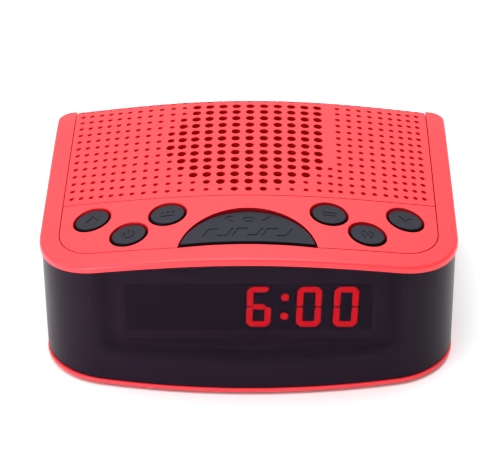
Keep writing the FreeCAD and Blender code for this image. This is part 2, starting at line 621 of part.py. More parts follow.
def rev(pts):
    """Solid of revolution about the speaker axis from (r, z) points."""
    w = Part.makePolygon([V(sx + r, syy, z) for r, z in pts] + [V(sx + pts[0][0], syy, pts[0][1])])
    return Part.Face(w).revolve(V(sx, syy, 0), V(0, 0, 1), 360)


keep("speaker_gasket", cyl(sx, syy, 49.7, 50.5, 28.5).cut(cyl(sx, syy, 49.0, 51.0, 25.6)))
basket = rev([(25.4, 49.7), (28.5, 49.7), (28.5, 48.7), (26.6, 48.7), (17.4, 36.8), (17.4, 35.6), (9.6, 35.6), (9.6, 36.6),
              (16.2, 36.9), (25.4, 48.6)])
win = []
for k in range(4):
    b = Part.makeBox(14.0, 12.0, 7.6, V(12.0, -6.0, 38.6))
    b.rotate(V(0, 0, 0), V(0, 0, 1), 45 + 90 * k)
    b.translate(V(sx, syy, 0))
    win.append(b)
basket = cut(basket, win)
keep("speaker_basket", basket)
keep("speaker_magnet", rev([(0, 24.6), (15.6, 24.6), (15.6, 35.6), (9.4, 35.6), (9.4, 33.0), (8.2, 33.0), (8.2, 36.2), (0, 36.2)]))
cone = rev([(25.3, 48.75), (25.3, 49.35), (24.0, 49.65), (22.8, 48.9), (9.0, 39.6), (6.0, 41.8), (3.0, 43.0), (0.0, 43.4), (0.0, 42.8),
            (3.0, 42.4), (5.6, 41.2), (8.4, 38.9), (8.4, 38.2), (9.2, 38.2), (9.4, 39.0), (23.0, 48.1), (24.0, 48.9), (24.6, 48.75)])
keep("speaker_cone", cone)
keep("speaker_screws", Part.makeCompound([fuse([screw(x, y, 48.7, 52.0, 1.0, 3.2, 1.2),
                                               cyl(x, y, 48.6, 49.7, 1.3)]) for x, y in SPOST]))

# ================================================================ display
x0, x1, y0, y1, z0, z1 = DISP
hous = box(x0, x1, y0 + 0.4, y1, z0, z1)
hous = cut(hous, box(x0 + 1.2, x1 - 1.2, y0 + 1.4, y1 - 1.6, z0 + 1.2, z1 - 1.2))
keep("display_housing", hous)
keep("display_filter", box(x0, x1, y0, y0 + 0.4, z0, z1))
SLANT = tan(radians(2.2))
DIG_H, DIG_W, STK, GAP = 15.4, 7.9, 2.0, 0.05
DIG_ZC = 30.8
DIGITS = [(-8.5, ""), (3.5, "acdefg"), (19.7, "abcdef"), (31.65, "abcdef")]
COLON_X = 11.85


def seg(cx, s, ty=0.2):
    """One bar of a digit: mitred and chamfered at the corners, blunt at the waist, on the slant."""
    W, H, t, c, g = DIG_W / 2, DIG_H / 2, STK, 1.45, GAP
    top = [(-W + c + g, H), (W - c - g, H), (W - c / 2 - g, H - c / 2), (W - t - g, H - t), (-W + t + g, H - t), (-W + c / 2 + g, H - c / 2)]
    side = [(-W, H - c - g), (-W + c / 2, H - c / 2 - g), (-W + t, H - t - g), (-W + t, 0.75), (-W + t - 0.45, 0.3), (-W + 0.3, 0.3), (-W, 0.6)]
    mid = [(-W + t - 0.3, 0.2), (-W + t + 0.45, t / 2), (W - t - 0.45, t / 2), (W - t + 0.3, 0.2),
           (W - t + 0.3, -0.2), (W - t - 0.45, -t / 2), (-W + t + 0.45, -t / 2), (-W + t - 0.3, -0.2)]
    shape, fx, fz = {"a": (top, 1, 1), "d": (top, 1, -1), "f": (side, 1, 1), "b": (side, -1, 1),
                     "e": (side, 1, -1), "c": (side, -1, -1), "g": (mid, 1, 1)}[s]
    pts = [V(cx + fx * a + fz * b * SLANT, y0 - ty, DIG_ZC + fz * b) for a, b in shape]
    pts.append(pts[0])
    return Part.Face(Part.makePolygon(pts)).extrude(V(0, ty, 0))


lit, dark = [], []
for cx, on in DIGITS:
    for s in "abcdefg":
        (lit if s in on else dark).append(seg(cx, s))
for dz in (3.65, -3.65):
    lit.append(cyl_y(COLON_X + dz * SLANT, y0 - 0.2, y0, DIG_ZC + dz, 1.3))
keep("display_segments_lit", Part.makeCompound(lit))
keep("display_segments_dark", Part.makeCompound(dark))
dpb = box(-46.4, 46.0, y1, y1 + 1.6, 20.2, 41.2)
dpb = cut(dpb, [cyl_y(x, y1 - 1, y1 + 3, z, 1.2) for x, z in SCR_D])
keep("display_board", dpb)
ds = []
for x, z in SCR_D:
    s = fuse([cyl_y(x, y1 + 1.6, y1 + 2.9, z, 1.9), cyl_y(x, YF + 9.8, y1 + 1.7, z, 1.0)])
    ds.append(s)
keep("display_screws", Part.makeCompound(ds))

# ================================================================ main board
MB = (-50.0, 30.0, YF + 18.0, YF + 53.5, 12.0, 13.6)
mb = cut(box(*MB), [cyl(x, y, 11.0, 15.0, 1.2) for x, y in PCB_POSTS])
keep("main_board", mb)


def screw_dn(x, y, z_seat, z_tip, r, rh, hh):
    return fuse([cyl(x, y, z_seat, z_seat + hh, rh), cyl(x, y, z_tip, z_seat + 0.1, r)])


keep("main_board_screws", Part.makeCompound([screw_dn(x, y, 13.6, 6.0, 1.1, 2.0, 1.4) for x, y in PCB_POSTS]))
keep("ic_packages", Part.makeCompound([box(-28.0, -8.0, YF + 26.0, YF + 33.0, 13.6, 17.0),
                                       box(0.0, 14.0, YF + 25.0, YF + 31.5, 13.6, 17.0),
                                       box(-10.0, 0.0, YF + 42.0, YF + 48.0, 13.6, 15.4)]))
keep("capacitors", Part.makeCompound([cyl(19.0, YF + 40.0, 13.6, 24.0, 4.0), cyl(-20.0, YF + 44.5, 13.6, 22.0, 3.15),
                                      cyl(8.0, YF + 47.5, 13.6, 22.0, 3.15), cyl(-35.0, YF + 26.0, 13.6, 20.6, 2.5)]))
keep("tuning_coils", Part.makeCompound([box(-44.0, -37.0, YF + 34.0, YF + 41.0, 13.6, 22.0),
                                        box(-34.5, -27.5, YF + 36.0, YF + 43.0, 13.6, 22.0)]))

# ================================================================ transformer
tx0, tx1, ty0, ty1 = TX
zt0, zt1 = 5.0, 33.0
cx, cyy = 0.5 * (tx0 + tx1), 0.5 * (ty0 + ty1)
core = box(tx0 + 6.0, tx1 - 6.0, ty0, ty1, zt0 + 0.0, zt1)
foot = [box(tx0 + 1.5, tx1 - 1.5, ty0, ty0 + 6.5, zt0, zt0 + 2.0), box(tx0 + 1.5, tx1 - 1.5, ty1 - 6.5, ty1, zt0, zt0 + 2.0)]
wind_y = (ty0 + 6.0, ty1 - 6.0)
core = fuse([core] + foot)
core = cut(core, [box(tx0 - 1, tx1 + 1, ty0 + 5.7, cyy - 5.0, zt0 + 5.0, zt1 - 5.0),
                  box(tx0 - 1, tx1 + 1, cyy + 5.0, ty1 - 5.7, zt0 + 5.0, zt1 - 5.0)])
core = cut(core, [cyl(x, y, 4.0, 8.0, 1.35) for x in (37.7, 58.3) for y in (ty0 + 3.0, ty1 - 3.0)])
keep("transformer_core", core)
wind = box(tx0 + 1.0, tx1 - 1.0, ty0 + 5.9, ty1 - 5.9, zt0 + 5.2, zt1 - 5.2)
wind = cut(wind, box(tx0 + 6.0 - 0.2, tx1 - 6.0 + 0.2, cyy - 5.2, cyy + 5.2, zt0, zt1))
keep("transformer_winding", wind)
keep("transformer_screws", Part.makeCompound([screw_dn(x, y, 7.0, 2.9, 1.2, 1.9, 1.5) for x in (37.7, 58.3)
                                              for y in (ty0 + 3.0, ty1 - 3.0)]))

# ================================================================ battery bay
AAA_R, AAA_L = 5.25, 44.5
yb = 0.5 * (by0 + by1)
cells, conts = [], []
for s, yy in ((1, yb - 5.6), (-1, yb + 5.6)):
    xa = -36.0 - (AAA_L / 2)
    c = cyl_x(xa + 0.5, xa + AAA_L - 0.5, yy, 8.6, AAA_R)
    tip = cyl_x(xa + AAA_L - 0.6, xa + AAA_L, yy, 8.6, 1.9) if s > 0 else cyl_x(xa, xa + 0.6, yy, 8.6, 1.9)
    cells.append(fuse([c, tip]))
keep("backup_cells", Part.makeCompound(cells))
for x in (bx0, bx1 - 0.4):
    for yy in (yb - 5.6, yb + 5.6):
        inward = 1 if x < -36.0 else -1
        pl = box(x, x + 0.4, yy - 4.2, yy + 4.2, 4.0, 13.4)
        flat = x + 0.4 if inward > 0 else x
        spring = (inward > 0 and yy < yb) or (inward < 0 and yy > yb)
        if inward > 0:
            dimple = cyl_x(flat - 0.1, (-36.0 - AAA_L / 2) + (0.5 if spring else 0.0), yy, 8.6, 2.6)
        else:
            dimple = cyl_x((-36.0 + AAA_L / 2) - (0.5 if spring else 0.0), flat + 0.1, yy, 8.6, 2.6)
        conts.append(fuse([pl, dimple]))
keep("battery_contacts", Part.makeCompound(conts))

# ================================================================ AM antenna
AY, AZ = YF + 88.2, 24.0
keep("ferrite_rod", cyl_x(-40.0, 20.0, AY, AZ, 4.0))
keep("antenna_coil", cyl_x(-22.0, -2.0, AY, AZ, 5.2).cut(cyl_x(-23.0, -1.0, AY, AZ, 4.05)))
hold = []
for x in (-34.0, 12.0):
    h = box(x, x + 3.0, AY - 3.8, AY + 1.7, 3.0, AZ + 5.6)
    h = fuse([h, box(x, x + 3.0, AY - 3.8, AY + 4.4, 9.0, AZ + 5.6), box(x - 2.5, x + 5.5, AY - 3.8, AY + 1.7, 3.0, 5.0)])
    hold.append(cut(h, cyl_x(x - 5, x + 8, AY, AZ, 4.03)))
keep("antenna_holders", Part.makeCompound(hold))

# ================================================================ export
os.makedirs("parts", exist_ok=True)
for f in os.listdir("parts"):
    if f.endswith(".step") and f[:-5] not in PARTS:
        os.remove(os.path.join("parts", f))
for name, shape in PARTS.items():
    shape.exportStep("parts/%s.step" % name)
print("parts", len(PARTS), "YF", YF, "DEPTH", DEPTH)
print("gland", GL_X, pad_y, GL_Z, BUSH_Y0, BUSH_Y1, "feet", FEET)
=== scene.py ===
from math import radians, sin, cos, pi, sqrt, atan2, hypot, tan

import bpy
import numpy as np
from mathutils import Matrix, Vector
from mathutils.geometry import delaunay_2d_cdt


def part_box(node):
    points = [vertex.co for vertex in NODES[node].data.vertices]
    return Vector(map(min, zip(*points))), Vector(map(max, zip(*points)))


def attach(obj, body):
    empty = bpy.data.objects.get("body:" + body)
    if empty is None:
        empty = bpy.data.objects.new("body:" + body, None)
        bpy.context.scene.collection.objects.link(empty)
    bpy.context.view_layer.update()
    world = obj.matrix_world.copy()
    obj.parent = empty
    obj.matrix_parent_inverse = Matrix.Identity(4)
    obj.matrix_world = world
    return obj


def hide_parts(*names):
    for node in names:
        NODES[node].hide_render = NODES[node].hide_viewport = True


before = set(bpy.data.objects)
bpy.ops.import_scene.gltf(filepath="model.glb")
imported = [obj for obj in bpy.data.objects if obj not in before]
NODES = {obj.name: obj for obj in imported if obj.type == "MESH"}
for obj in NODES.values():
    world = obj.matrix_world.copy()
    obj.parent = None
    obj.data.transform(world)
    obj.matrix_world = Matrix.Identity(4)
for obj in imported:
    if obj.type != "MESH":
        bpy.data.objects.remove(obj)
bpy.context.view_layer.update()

MM = 0.001

# ------------------------------------------------------------------ dimensions
# The same driving dimensions as the CAD, in millimetres.
WIDTH, DEPTH_MID, BEND = 138.0, 96.6, 0.002194
BEND_R = 1.0 / (2.0 * BEND)
CORNER_F, CORNER_R = 25.8, 4.0
FOOT_Z, LIP_Z = 1.0, 2.4
LENS_IN, LENS_T = 0.65, 2.0
FRAME_IN = 2.8
ARCH2, ARCH4 = 0.0027979, -8.02e-08
RIM_H, PANEL_T, LEDGE_T = 2.46, 2.4, 2.0
GROOVE_X, GROOVE_F, GROOVE_R = 62.4, 6.85, 16.0
DIVIDE_D, SEAM = 34.55, 0.32
BUTTONS = [(-51.5, 31.35), (-38.65, 19.25), (-26.35, 27.0),
           (26.35, 27.0), (38.65, 19.25), (51.5, 31.35)]
BTN_HOLE, BTN_R, TRAVEL = 6.4, 5.6, 1.0
SNOOZE_Y, SNOOZE_HALF, SNOOZE_H, SNOOZE_GAP = 7.95, 22.5, 19.6, 0.7
CAP_DROP, BAR_DROP, FRONT_GAP = 0.08, 0.1, 0.75
PROFILE = [(-6.0, 52.42), (0.0, 53.09), (9.114, 53.96), (18.228, 54.76),
           (36.456, 56.19), (54.684, 57.38), (72.912, 58.34), (80.0, 58.62),
           (86.0, 58.72), (91.14, 58.56), (94.786, 58.30), (98.432, 57.93),
           (104.0, 57.15), (112.0, 55.75)]
ROW_FIRST, ROW_PITCH, ROWS = 38.28, 4.357, 14
SPK_Y, SPK_R = 64.6, 28.5
REAR_D = DEPTH_MID - 6.0


def rear_corner(inset, r):
    w = WIDTH / 2 - inset
    r2 = BEND_R + inset
    rr = max(r - inset, 0.6)
    cy = DEPTH_MID + BEND_R
    yc = cy - sqrt((r2 + rr) ** 2 - (w - rr) ** 2)
    return w, rr, yc, cy, r2


_c = rear_corner(0.0, CORNER_R)
DEPTH = _c[2] + _c[1]
YF = -DEPTH / 2.0


# ------------------------------------------------------------------ top surface
def spline(points):
    """Natural cubic spline through the points, as a function on arrays."""
    xs = np.array([p[0] for p in points])
    ys = np.array([p[1] for p in points])
    n = len(xs)
    h = np.diff(xs)
    a = np.zeros((n, n))
    b = np.zeros(n)
    a[0, 0] = a[-1, -1] = 1.0
    for i in range(1, n - 1):
        a[i, i - 1], a[i, i], a[i, i + 1] = h[i - 1], 2 * (h[i - 1] + h[i]), h[i]
        b[i] = 6 * ((ys[i + 1] - ys[i]) / h[i] - (ys[i] - ys[i - 1]) / h[i - 1])
    m = np.linalg.solve(a, b)

    def f(x):
        x = np.clip(np.asarray(x, float), xs[0], xs[-1])
        i = np.clip(np.searchsorted(xs, x) - 1, 0, n - 2)
        t0, t1, hi = x - xs[i], xs[i + 1] - x, h[i]
        return (m[i] * t1 ** 3 + m[i + 1] * t0 ** 3) / (6 * hi) + (ys[i] / hi - m[i] * hi / 6) * t1 + (ys[i + 1] / hi - m[i + 1] * hi / 6) * t0
    return f


height = spline(PROFILE)


def surf(x, y):
    x = np.asarray(x, float)
    return height(np.asarray(y, float) - YF - BEND * x * x) - ARCH2 * x * x - ARCH4 * x ** 4 - 0.004


def lowered(top, dz):
    return lambda x, y: top(x, y) - dz


# ------------------------------------------------------------------ plan curves
def arc(cx, cy, r, a0, a1, step):
    """Points on an arc from angle a0 towards a1, without its last point."""
    n = max(2, int(abs(a1 - a0) * r / step + 0.5))
    return [(cx + r * cos(a0 + (a1 - a0) * k / n), cy + r * sin(a0 + (a1 - a0) * k / n)) for k in range(n)]


def line(p, q, step):
    n = max(1, int(hypot(q[0] - p[0], q[1] - p[1]) / step + 0.5))
    return [(p[0] + (q[0] - p[0]) * k / n, p[1] + (q[1] - p[1]) * k / n) for k in range(n)]


def outline_data(inset):
    w = WIDTH / 2 - inset
    r1 = BEND_R - inset
    rc = CORNER_F - inset
    cy = YF + BEND_R
    yc = cy - sqrt((r1 - rc) ** 2 - (w - rc) ** 2)
    fx = w - rc
    n = hypot(fx, yc - cy)
    t1 = (fx / n * r1, cy + (yc - cy) / n * r1)
    _, rr, yr, cb, r2 = rear_corner(inset, CORNER_R)
    yr += YF
    cb += YF
    gx = w - rr
    m = hypot(gx, yr - cb)
    t2 = (gx / m * r2, cb + (yr - cb) / m * r2)
    return w, r1, rc, cy, yc, fx, t1, rr, yr, cb, r2, gx, t2


def front_run(inset, step, y_end=None):
    """Left side, front and right side of the outline, from rear left to rear right."""
    w, r1, rc, cy, yc, fx, t1, rr, yr, cb, r2, gx, t2 = outline_data(inset)
    ye = yr if y_end is None else y_end
    a_t = atan2(t1[1] - yc, t1[0] - fx)
    p = line((-w, ye), (-w, yc), step * 1.5)
    p += arc(-fx, yc, rc, pi, 2 * pi - (a_t + pi), min(step, 1.2))
    p += arc(0, cy, r1, atan2(t1[1] - cy, -t1[0]), atan2(t1[1] - cy, t1[0]), step)
    p += arc(fx, yc, rc, a_t, 0.0, min(step, 1.2))
    p += line((w, yc), (w, ye), step * 1.5)
    p.append((w, ye))
    return p


def rear_run(inset, step, x_from, x_to):
    """Rear edge from the end of the right side towards x_to, as far as x_to."""
    w, r1, rc, cy, yc, fx, t1, rr, yr, cb, r2, gx, t2 = outline_data(inset)
    a2 = atan2(t2[1] - yr, t2[0] - gx)
    p = arc(gx, yr, rr, 0.0, a2, 0.5)
    b0 = atan2(t2[1] - cb, t2[0])
    b1 = -pi + atan2(sqrt(r2 ** 2 - x_to ** 2), -x_to) if x_to < 0 else atan2(-sqrt(r2 ** 2 - x_to ** 2), x_to)
    p += arc(0, cb, r2, b0, b1, step)
    p.append((x_to, cb - sqrt(r2 ** 2 - x_to ** 2)))
    return p


def inset_data(off):
    w = GROOVE_X + off
    r1 = BEND_R - GROOVE_F + off
    rc = GROOVE_R + off
    cy = YF + BEND_R
    yc = cy - sqrt((r1 - rc) ** 2 - (w - rc) ** 2)
    fx = w - rc
    n = hypot(fx, yc - cy)
    t1 = (fx / n * r1, cy + (yc - cy) / n * r1)
    ys = YF + SNOOZE_Y - off
    xs = sqrt(max(r1 ** 2 - (cy - ys) ** 2, 1.0))
    return w, r1, rc, cy, yc, fx, t1, ys, xs


def inset_run(off, step, y_end, flat=True):
    """Inset from (-w, y_end) down the left side, along the front and up to (w, y_end)."""
    w, r1, rc, cy, yc, fx, t1, ys, xs = inset_data(off)
    a_t = atan2(t1[1] - yc, t1[0] - fx)
    p = line((-w, y_end), (-w, yc), step)
    p += arc(-fx, yc, rc, pi, 2 * pi - (a_t + pi), min(step, 1.0))
    if flat:
        p += arc(0, cy, r1, atan2(t1[1] - cy, -t1[0]), atan2(ys - cy, -xs), step)
        p += line((-xs, ys), (xs, ys), step)
        p += arc(0, cy, r1, atan2(ys - cy, xs), atan2(t1[1] - cy, t1[0]), step)
    else:
        p += arc(0, cy, r1, atan2(t1[1] - cy, -t1[0]), atan2(t1[1] - cy, t1[0]), step)
    p += arc(fx, yc, rc, a_t, 0.0, min(step, 1.0))
    p += line((w, yc), (w, y_end), step)
    p.append((w, y_end))
    return p


def row_line(d, x0, x1, step):
    """Row curve at d behind the front edge, from x0 to x1 with both ends."""
    n = max(2, int(abs(x1 - x0) / step + 0.5))
    xs = [x0 + (x1 - x0) * k / n for k in range(n + 1)]
    return [(x, YF + d + BEND * x * x) for x in xs]


def circle(cx, cy, r, n, cw=True):
    s = -1.0 if cw else 1.0
    return [(cx + r * cos(s * 2 * pi * k / n), cy + r * sin(s * 2 * pi * k / n)) for k in range(n)]


def clean(pts, tol=0.02):
    out = []
    for p in pts:
        if not out or hypot(p[0] - out[-1][0], p[1] - out[-1][1]) > tol:
            out.append(p)
    if len(out) > 1 and hypot(out[0][0] - out[-1][0], out[0][1] - out[-1][1]) <= tol:
        out.pop()
    return np.array(out, float)


# ------------------------------------------------------------------ mesh builder
def surface_normal(top, x, y):
    e = 0.01
    gx = (top(x + e, y) - top(x - e, y)) / (2 * e)
    gy = (top(x, y + e) - top(x, y - e)) / (2 * e)
    n = np.stack([-gx, -gy, np.ones_like(gx)], -1)
    return n / np.linalg.norm(n, axis=-1, keepdims=True)


class Builder:
    """Collects faces with a normal for every corner, so that curved and rounded parts shade exactly."""

    def __init__(self):
        self.v, self.f, self.n, self.m = [], [], [], []

    def add(self, pts):
        i = len(self.v)
        self.v.extend([tuple(float(c) for c in p) for p in pts])
        return i

    def face(self, idx, normals, mat=0):
        self.f.append(tuple(int(i) for i in idx))
        self.n.extend([tuple(float(c) for c in n) for n in normals])
        self.m.append(mat)

    def make(self, name, mats):
        me = bpy.data.meshes.new(name)
        me.from_pydata([(x * MM, y * MM, z * MM) for x, y, z in self.v], [], self.f)
        me.update()
        for mt in mats:
            me.materials.append(mt)
        me.polygons.foreach_set("material_index", self.m)
        me.polygons.foreach_set("use_smooth", [True] * len(self.f))
        me.normals_split_custom_set(self.n)
        ob = bpy.data.objects.new(name, me)
        bpy.context.scene.collection.objects.link(ob)
        return ob


def edge_frames(P):
    E = np.roll(P, -1, 0) - P
    L = np.linalg.norm(E, axis=1, keepdims=True)
    n1 = np.stack([-E[:, 1], E[:, 0]], 1) / L
    n0 = np.roll(n1, 1, 0)
    s = n0 + n1
    ln = np.linalg.norm(s, axis=1, keepdims=True)
    vn = s / np.maximum(ln, 1e-9)
    sharp = (n0 * n1).sum(1) < cos(radians(28))
    return n0, n1, vn, sharp


def offset_pts(P, d):
    """The closed loop P moved to its left by d, one distance per edge."""
    n0, n1, vn, _ = edge_frames(P)
    d1 = np.asarray(d, float)
    d0 = np.roll(d1, 1)
    det = n0[:, 0] * n1[:, 1] - n0[:, 1] * n1[:, 0]
    ok = np.abs(det) > 0.15
    dd = np.where(ok, det, 1.0)
    dx = (d0 * n1[:, 1] - d1 * n0[:, 1]) / dd
    dy = (n0[:, 0] * d1 - n1[:, 0] * d0) / dd
    sm = vn * ((d0 + d1) / 2 / np.maximum((n1 * vn).sum(1), 0.5))[:, None]
    return P + np.where(ok[:, None], np.stack([dx, dy], 1), sm)


def inside(poly, pts):
    """For each point, whether it lies in the polygon."""
    x, y = pts[:, 0][:, None], pts[:, 1][:, None]
    a, b = poly, np.roll(poly, -1, 0)
    ax, ay, bx, by = a[:, 0][None], a[:, 1][None], b[:, 0][None], b[:, 1][None]
    res = np.zeros(len(pts), bool)
    for k in range(0, len(pts), 20000):
        xs, ys = x[k:k + 20000], y[k:k + 20000]
        c = ((ay > ys) != (by > ys)) & (xs < (bx - ax) * (ys - ay) / np.where(by == ay, 1e-12, by - ay) + ax)
        res[k:k + 20000] = c.sum(1) % 2 == 1
    return res


class Loop:
    """Closed boundary with the material on its left. A pocket has a floor depth below the top."""

    def __init__(self, pts, r=0.2, rb=0.0, depth=None, mat=0, wall_mat=None, skirt=0):
        self.P = clean(pts)
        n = len(self.P)
        self.R = np.full(n, float(r)) if np.isscalar(r) else np.asarray(r, float)
        self.rb, self.depth, self.mat, self.skirt = rb, depth, mat, skirt
        self.wall_mat = mat if wall_mat is None else wall_mat


def plate(b, loops, top, bottom, steiner, K=3, mat=0):
    """Closed sheet between two heights, with rounded edges round its outline, holes and pockets."""
    rings0 = []
    for lp in loops:
        rings0.append(offset_pts(lp.P, lp.R))
    pts, edges, owner = [], [], []
    for j, q in enumerate(rings0):
        s = len(pts)
        n = len(q)
        pts.extend(q.tolist())
        owner.extend([j] * n)
        edges.extend([(s + i, s + (i + 1) % n) for i in range(n)])
    base = np.array(pts)
    st = np.asarray(steiner, float).reshape(-1, 2)
    if len(st):
        keep = inside(rings0[0], st)
        st = st[keep]
        near = np.ones(len(st), bool)
        for k in range(0, len(base), 4000):
            d = np.linalg.norm(st[:, None] - base[None, k:k + 4000], axis=2).min(1)
            near &= d > 0.45
        for j, lp in enumerate(loops[1:], 1):
            q = rings0[j]
            lo, hi = q.min(0) - 0.3, q.max(0) + 0.3
            cand = np.where(near & (st > lo).all(1) & (st < hi).all(1))[0]
            if len(cand):
                near[cand[inside(q, st[cand])]] = False
        st = st[near]
        pts.extend(st.tolist())
        owner.extend([-1] * len(st))
    res = delaunay_2d_cdt([Vector(p) for p in pts], edges, [], 0, 1e-6)
    vo, tri, orig = res[0], res[2], res[3]
    if len(vo) != len(pts):
        raise RuntimeError("plan outline crosses itself: %d %d" % (len(vo), len(pts)))
    to_in = [o[0] for o in orig]
    P2 = np.array(pts)
    T = np.array([[to_in[i] for i in t] for t in tri])
    own = np.array(owner)[T]
    cen = P2[T].mean(1)
    good = inside(rings0[0], cen)
    same = (own[:, 0] == own[:, 1]) & (own[:, 1] == own[:, 2]) & (own[:, 0] > 0)
    for j, q in enumerate(rings0[1:], 1):
        idx = np.where(same & (own[:, 0] == j))[0]
        if len(idx):
            good[idx[inside(q, cen[idx])]] = False
    T = T[good]
    A = P2[T]
    area = (A[:, 1, 0] - A[:, 0, 0]) * (A[:, 2, 1] - A[:, 0, 1]) - (A[:, 1, 1] - A[:, 0, 1]) * (A[:, 2, 0] - A[:, 0, 0])
    T = np.where((area < 0)[:, None], T[:, ::-1], T)
    zt = top(P2[:, 0], P2[:, 1])
    NT = surface_normal(top, P2[:, 0], P2[:, 1])
    v0 = b.add(np.column_stack([P2, zt]))
    for t in T:
        b.face(v0 + t, NT[t], mat)
    # lower side reuses the plan triangles
    zb = bottom(P2[:, 0], P2[:, 1])
    NB = -surface_normal(bottom, P2[:, 0], P2[:, 1])
    low = np.full(len(P2), -1)
    s = 0
    floors = []
    for j, lp in enumerate(loops):
        n = len(lp.P)
        n0, n1, vn, sharp = edge_frames(lp.P)
        Rv = np.maximum(lp.R, np.roll(lp.R, 1))
        prev = v0 + s + np.arange(n)
        prev_th = 0.0
        steps = max(1, K if lp.R.max() > 0.12 else 2)
        stages = [("top", k) for k in range(1, steps + 1)]
        for _, k in stages:
            th = pi / 2 * k / steps
            q = offset_pts(lp.P, lp.R * (1 - sin(th)))
            z = top(q[:, 0], q[:, 1]) - Rv * (1 - cos(th))
            cur = b.add(np.column_stack([q, z])) + np.arange(n)
            NS = surface_normal(top, q[:, 0], q[:, 1])
            for i in range(n):
                i2 = (i + 1) % n
                e = -n1[i]
                oa = e if sharp[i] else -vn[i]
                ob = e if sharp[i2] else -vn[i2]
                nn = []
                for o, ii, t_ in ((oa, i, th), (ob, i2, th), (ob, i2, prev_th), (oa, i, prev_th)):
                    v = NS[ii] * cos(t_) + np.array([o[0], o[1], 0.0]) * sin(t_)
                    nn.append(v / np.linalg.norm(v))
                b.face((cur[i], cur[i2], prev[i2], prev[i]), nn, lp.wall_mat if k > steps - lp.skirt else mat)
            prev, prev_th = cur, th
        if lp.depth is not None:
            q = lp.P
            z = top(q[:, 0], q[:, 1]) - lp.depth
            cur = b.add(np.column_stack([q, z])) + np.arange(n)
            zb_loop = None
        else:
            q = lp.P
            z = bottom(q[:, 0], q[:, 1]) + lp.rb
            cur = b.add(np.column_stack([q, z])) + np.arange(n)
        for i in range(n):
            i2 = (i + 1) % n
            e = -n1[i]
            oa = e if sharp[i] else -vn[i]
            ob = e if sharp[i2] else -vn[i2]
            na, nb = (oa[0], oa[1], 0.0), (ob[0], ob[1], 0.0)
            b.face((cur[i], cur[i2], prev[i2], prev[i]), (na, nb, nb, na), lp.wall_mat)
        if lp.depth is not None:
            ns = surface_normal(top, q[:, 0], q[:, 1])
            order = np.arange(n)[::-1]
            b.face(cur[order], ns[order], lp.mat)
            pb = rings0[j]
            zz = bottom(pb[:, 0], pb[:, 1])
            lo_ = b.add(np.column_stack([pb, zz])) + np.arange(n)
            nb_ = -surface_normal(bottom, pb[:, 0], pb[:, 1])
            b.face(lo_, nb_, mat)
            low[s:s + n] = lo_
        else:
            if lp.rb > 0:
                prev, prev_th = cur, 0.0
                for k in (1, 2, 3):
                    th = pi / 2 * k / 3
                    q = offset_pts(lp.P, np.full(n, lp.rb * (1 - cos(th))))
                    z = bottom(q[:, 0], q[:, 1]) + lp.rb * (1 - sin(th))
                    cur = b.add(np.column_stack([q, z])) + np.arange(n)
                    for i in range(n):
                        i2 = (i + 1) % n
                        e = -n1[i]
                        oa = e if sharp[i] else -vn[i]
                        ob = e if sharp[i2] else -vn[i2]
                        nn = []
                        for o, t_ in ((oa, th), (ob, th), (ob, prev_th), (oa, prev_th)):
                            v = np.array([o[0] * cos(t_), o[1] * cos(t_), -sin(t_)])
                            nn.append(v / np.linalg.norm(v))
                        b.face((cur[i], cur[i2], prev[i2], prev[i]), nn, lp.wall_mat)
                    prev, prev_th = cur, th
            low[s:s + n] = cur
        s += n
    if len(P2) > s:
        extra = np.arange(s, len(P2))
        st_low = b.add(np.column_stack([P2[extra], zb[extra]]))
        low[extra] = st_low + np.arange(len(extra))
    for t in T:
        b.face(low[t][::-1], NB[t][::-1], mat)


def grid(x0, x1, y0, y1, step, jitter=0.0):
    nx, ny = int((x1 - x0) / step) + 1, int((y1 - y0) / step) + 1
    out = []
    for j in range(ny):
        for i in range(nx):
            out.append((x0 + step * (i + (0.5 if j % 2 else 0.0)), y0 + step * j))
    return out


# ------------------------------------------------------------------ materials
def node_tree(name):
    mat = bpy.data.materials.new(name)
    mat.use_nodes = True
    nt = mat.node_tree
    nt.nodes.clear()
    out = nt.nodes.new("ShaderNodeOutputMaterial")
    bs = nt.nodes.new("ShaderNodeBsdfPrincipled")
    nt.links.new(bs.outputs["BSDF"], out.inputs["Surface"])
    tc = nt.nodes.new("ShaderNodeTexCoord")
    return mat, nt, bs, tc.outputs["Object"]


def noise(nt, coord, scale, detail=4.0, rough=0.5):
    n = nt.nodes.new("ShaderNodeTexNoise")
    n.inputs["Scale"].default_value = scale
    n.inputs["Detail"].default_value = detail
    n.inputs["Roughness"].default_value = rough
    nt.links.new(coord, n.inputs["Vector"])
    return n.outputs["Fac"]


def ramp(nt, fac, stops):
    r = nt.nodes.new("ShaderNodeValToRGB")
    el = r.color_ramp.elements
    el[0].position, el[0].color = stops[0][0], (*stops[0][1], 1)
    el[1].position, el[1].color = stops[-1][0], (*stops[-1][1], 1)
    for pos, col in stops[1:-1]:
        e = el.new(pos)
        e.color = (*col, 1)
    nt.links.new(fac, r.inputs["Fac"])
    return r.outputs["Color"]


def to_range(nt, fac, lo, hi):
    m = nt.nodes.new("ShaderNodeMapRange")
    m.inputs["To Min"].default_value = lo
    m.inputs["To Max"].default_value = hi
    nt.links.new(fac, m.inputs["Value"])
    return m.outputs["Result"]


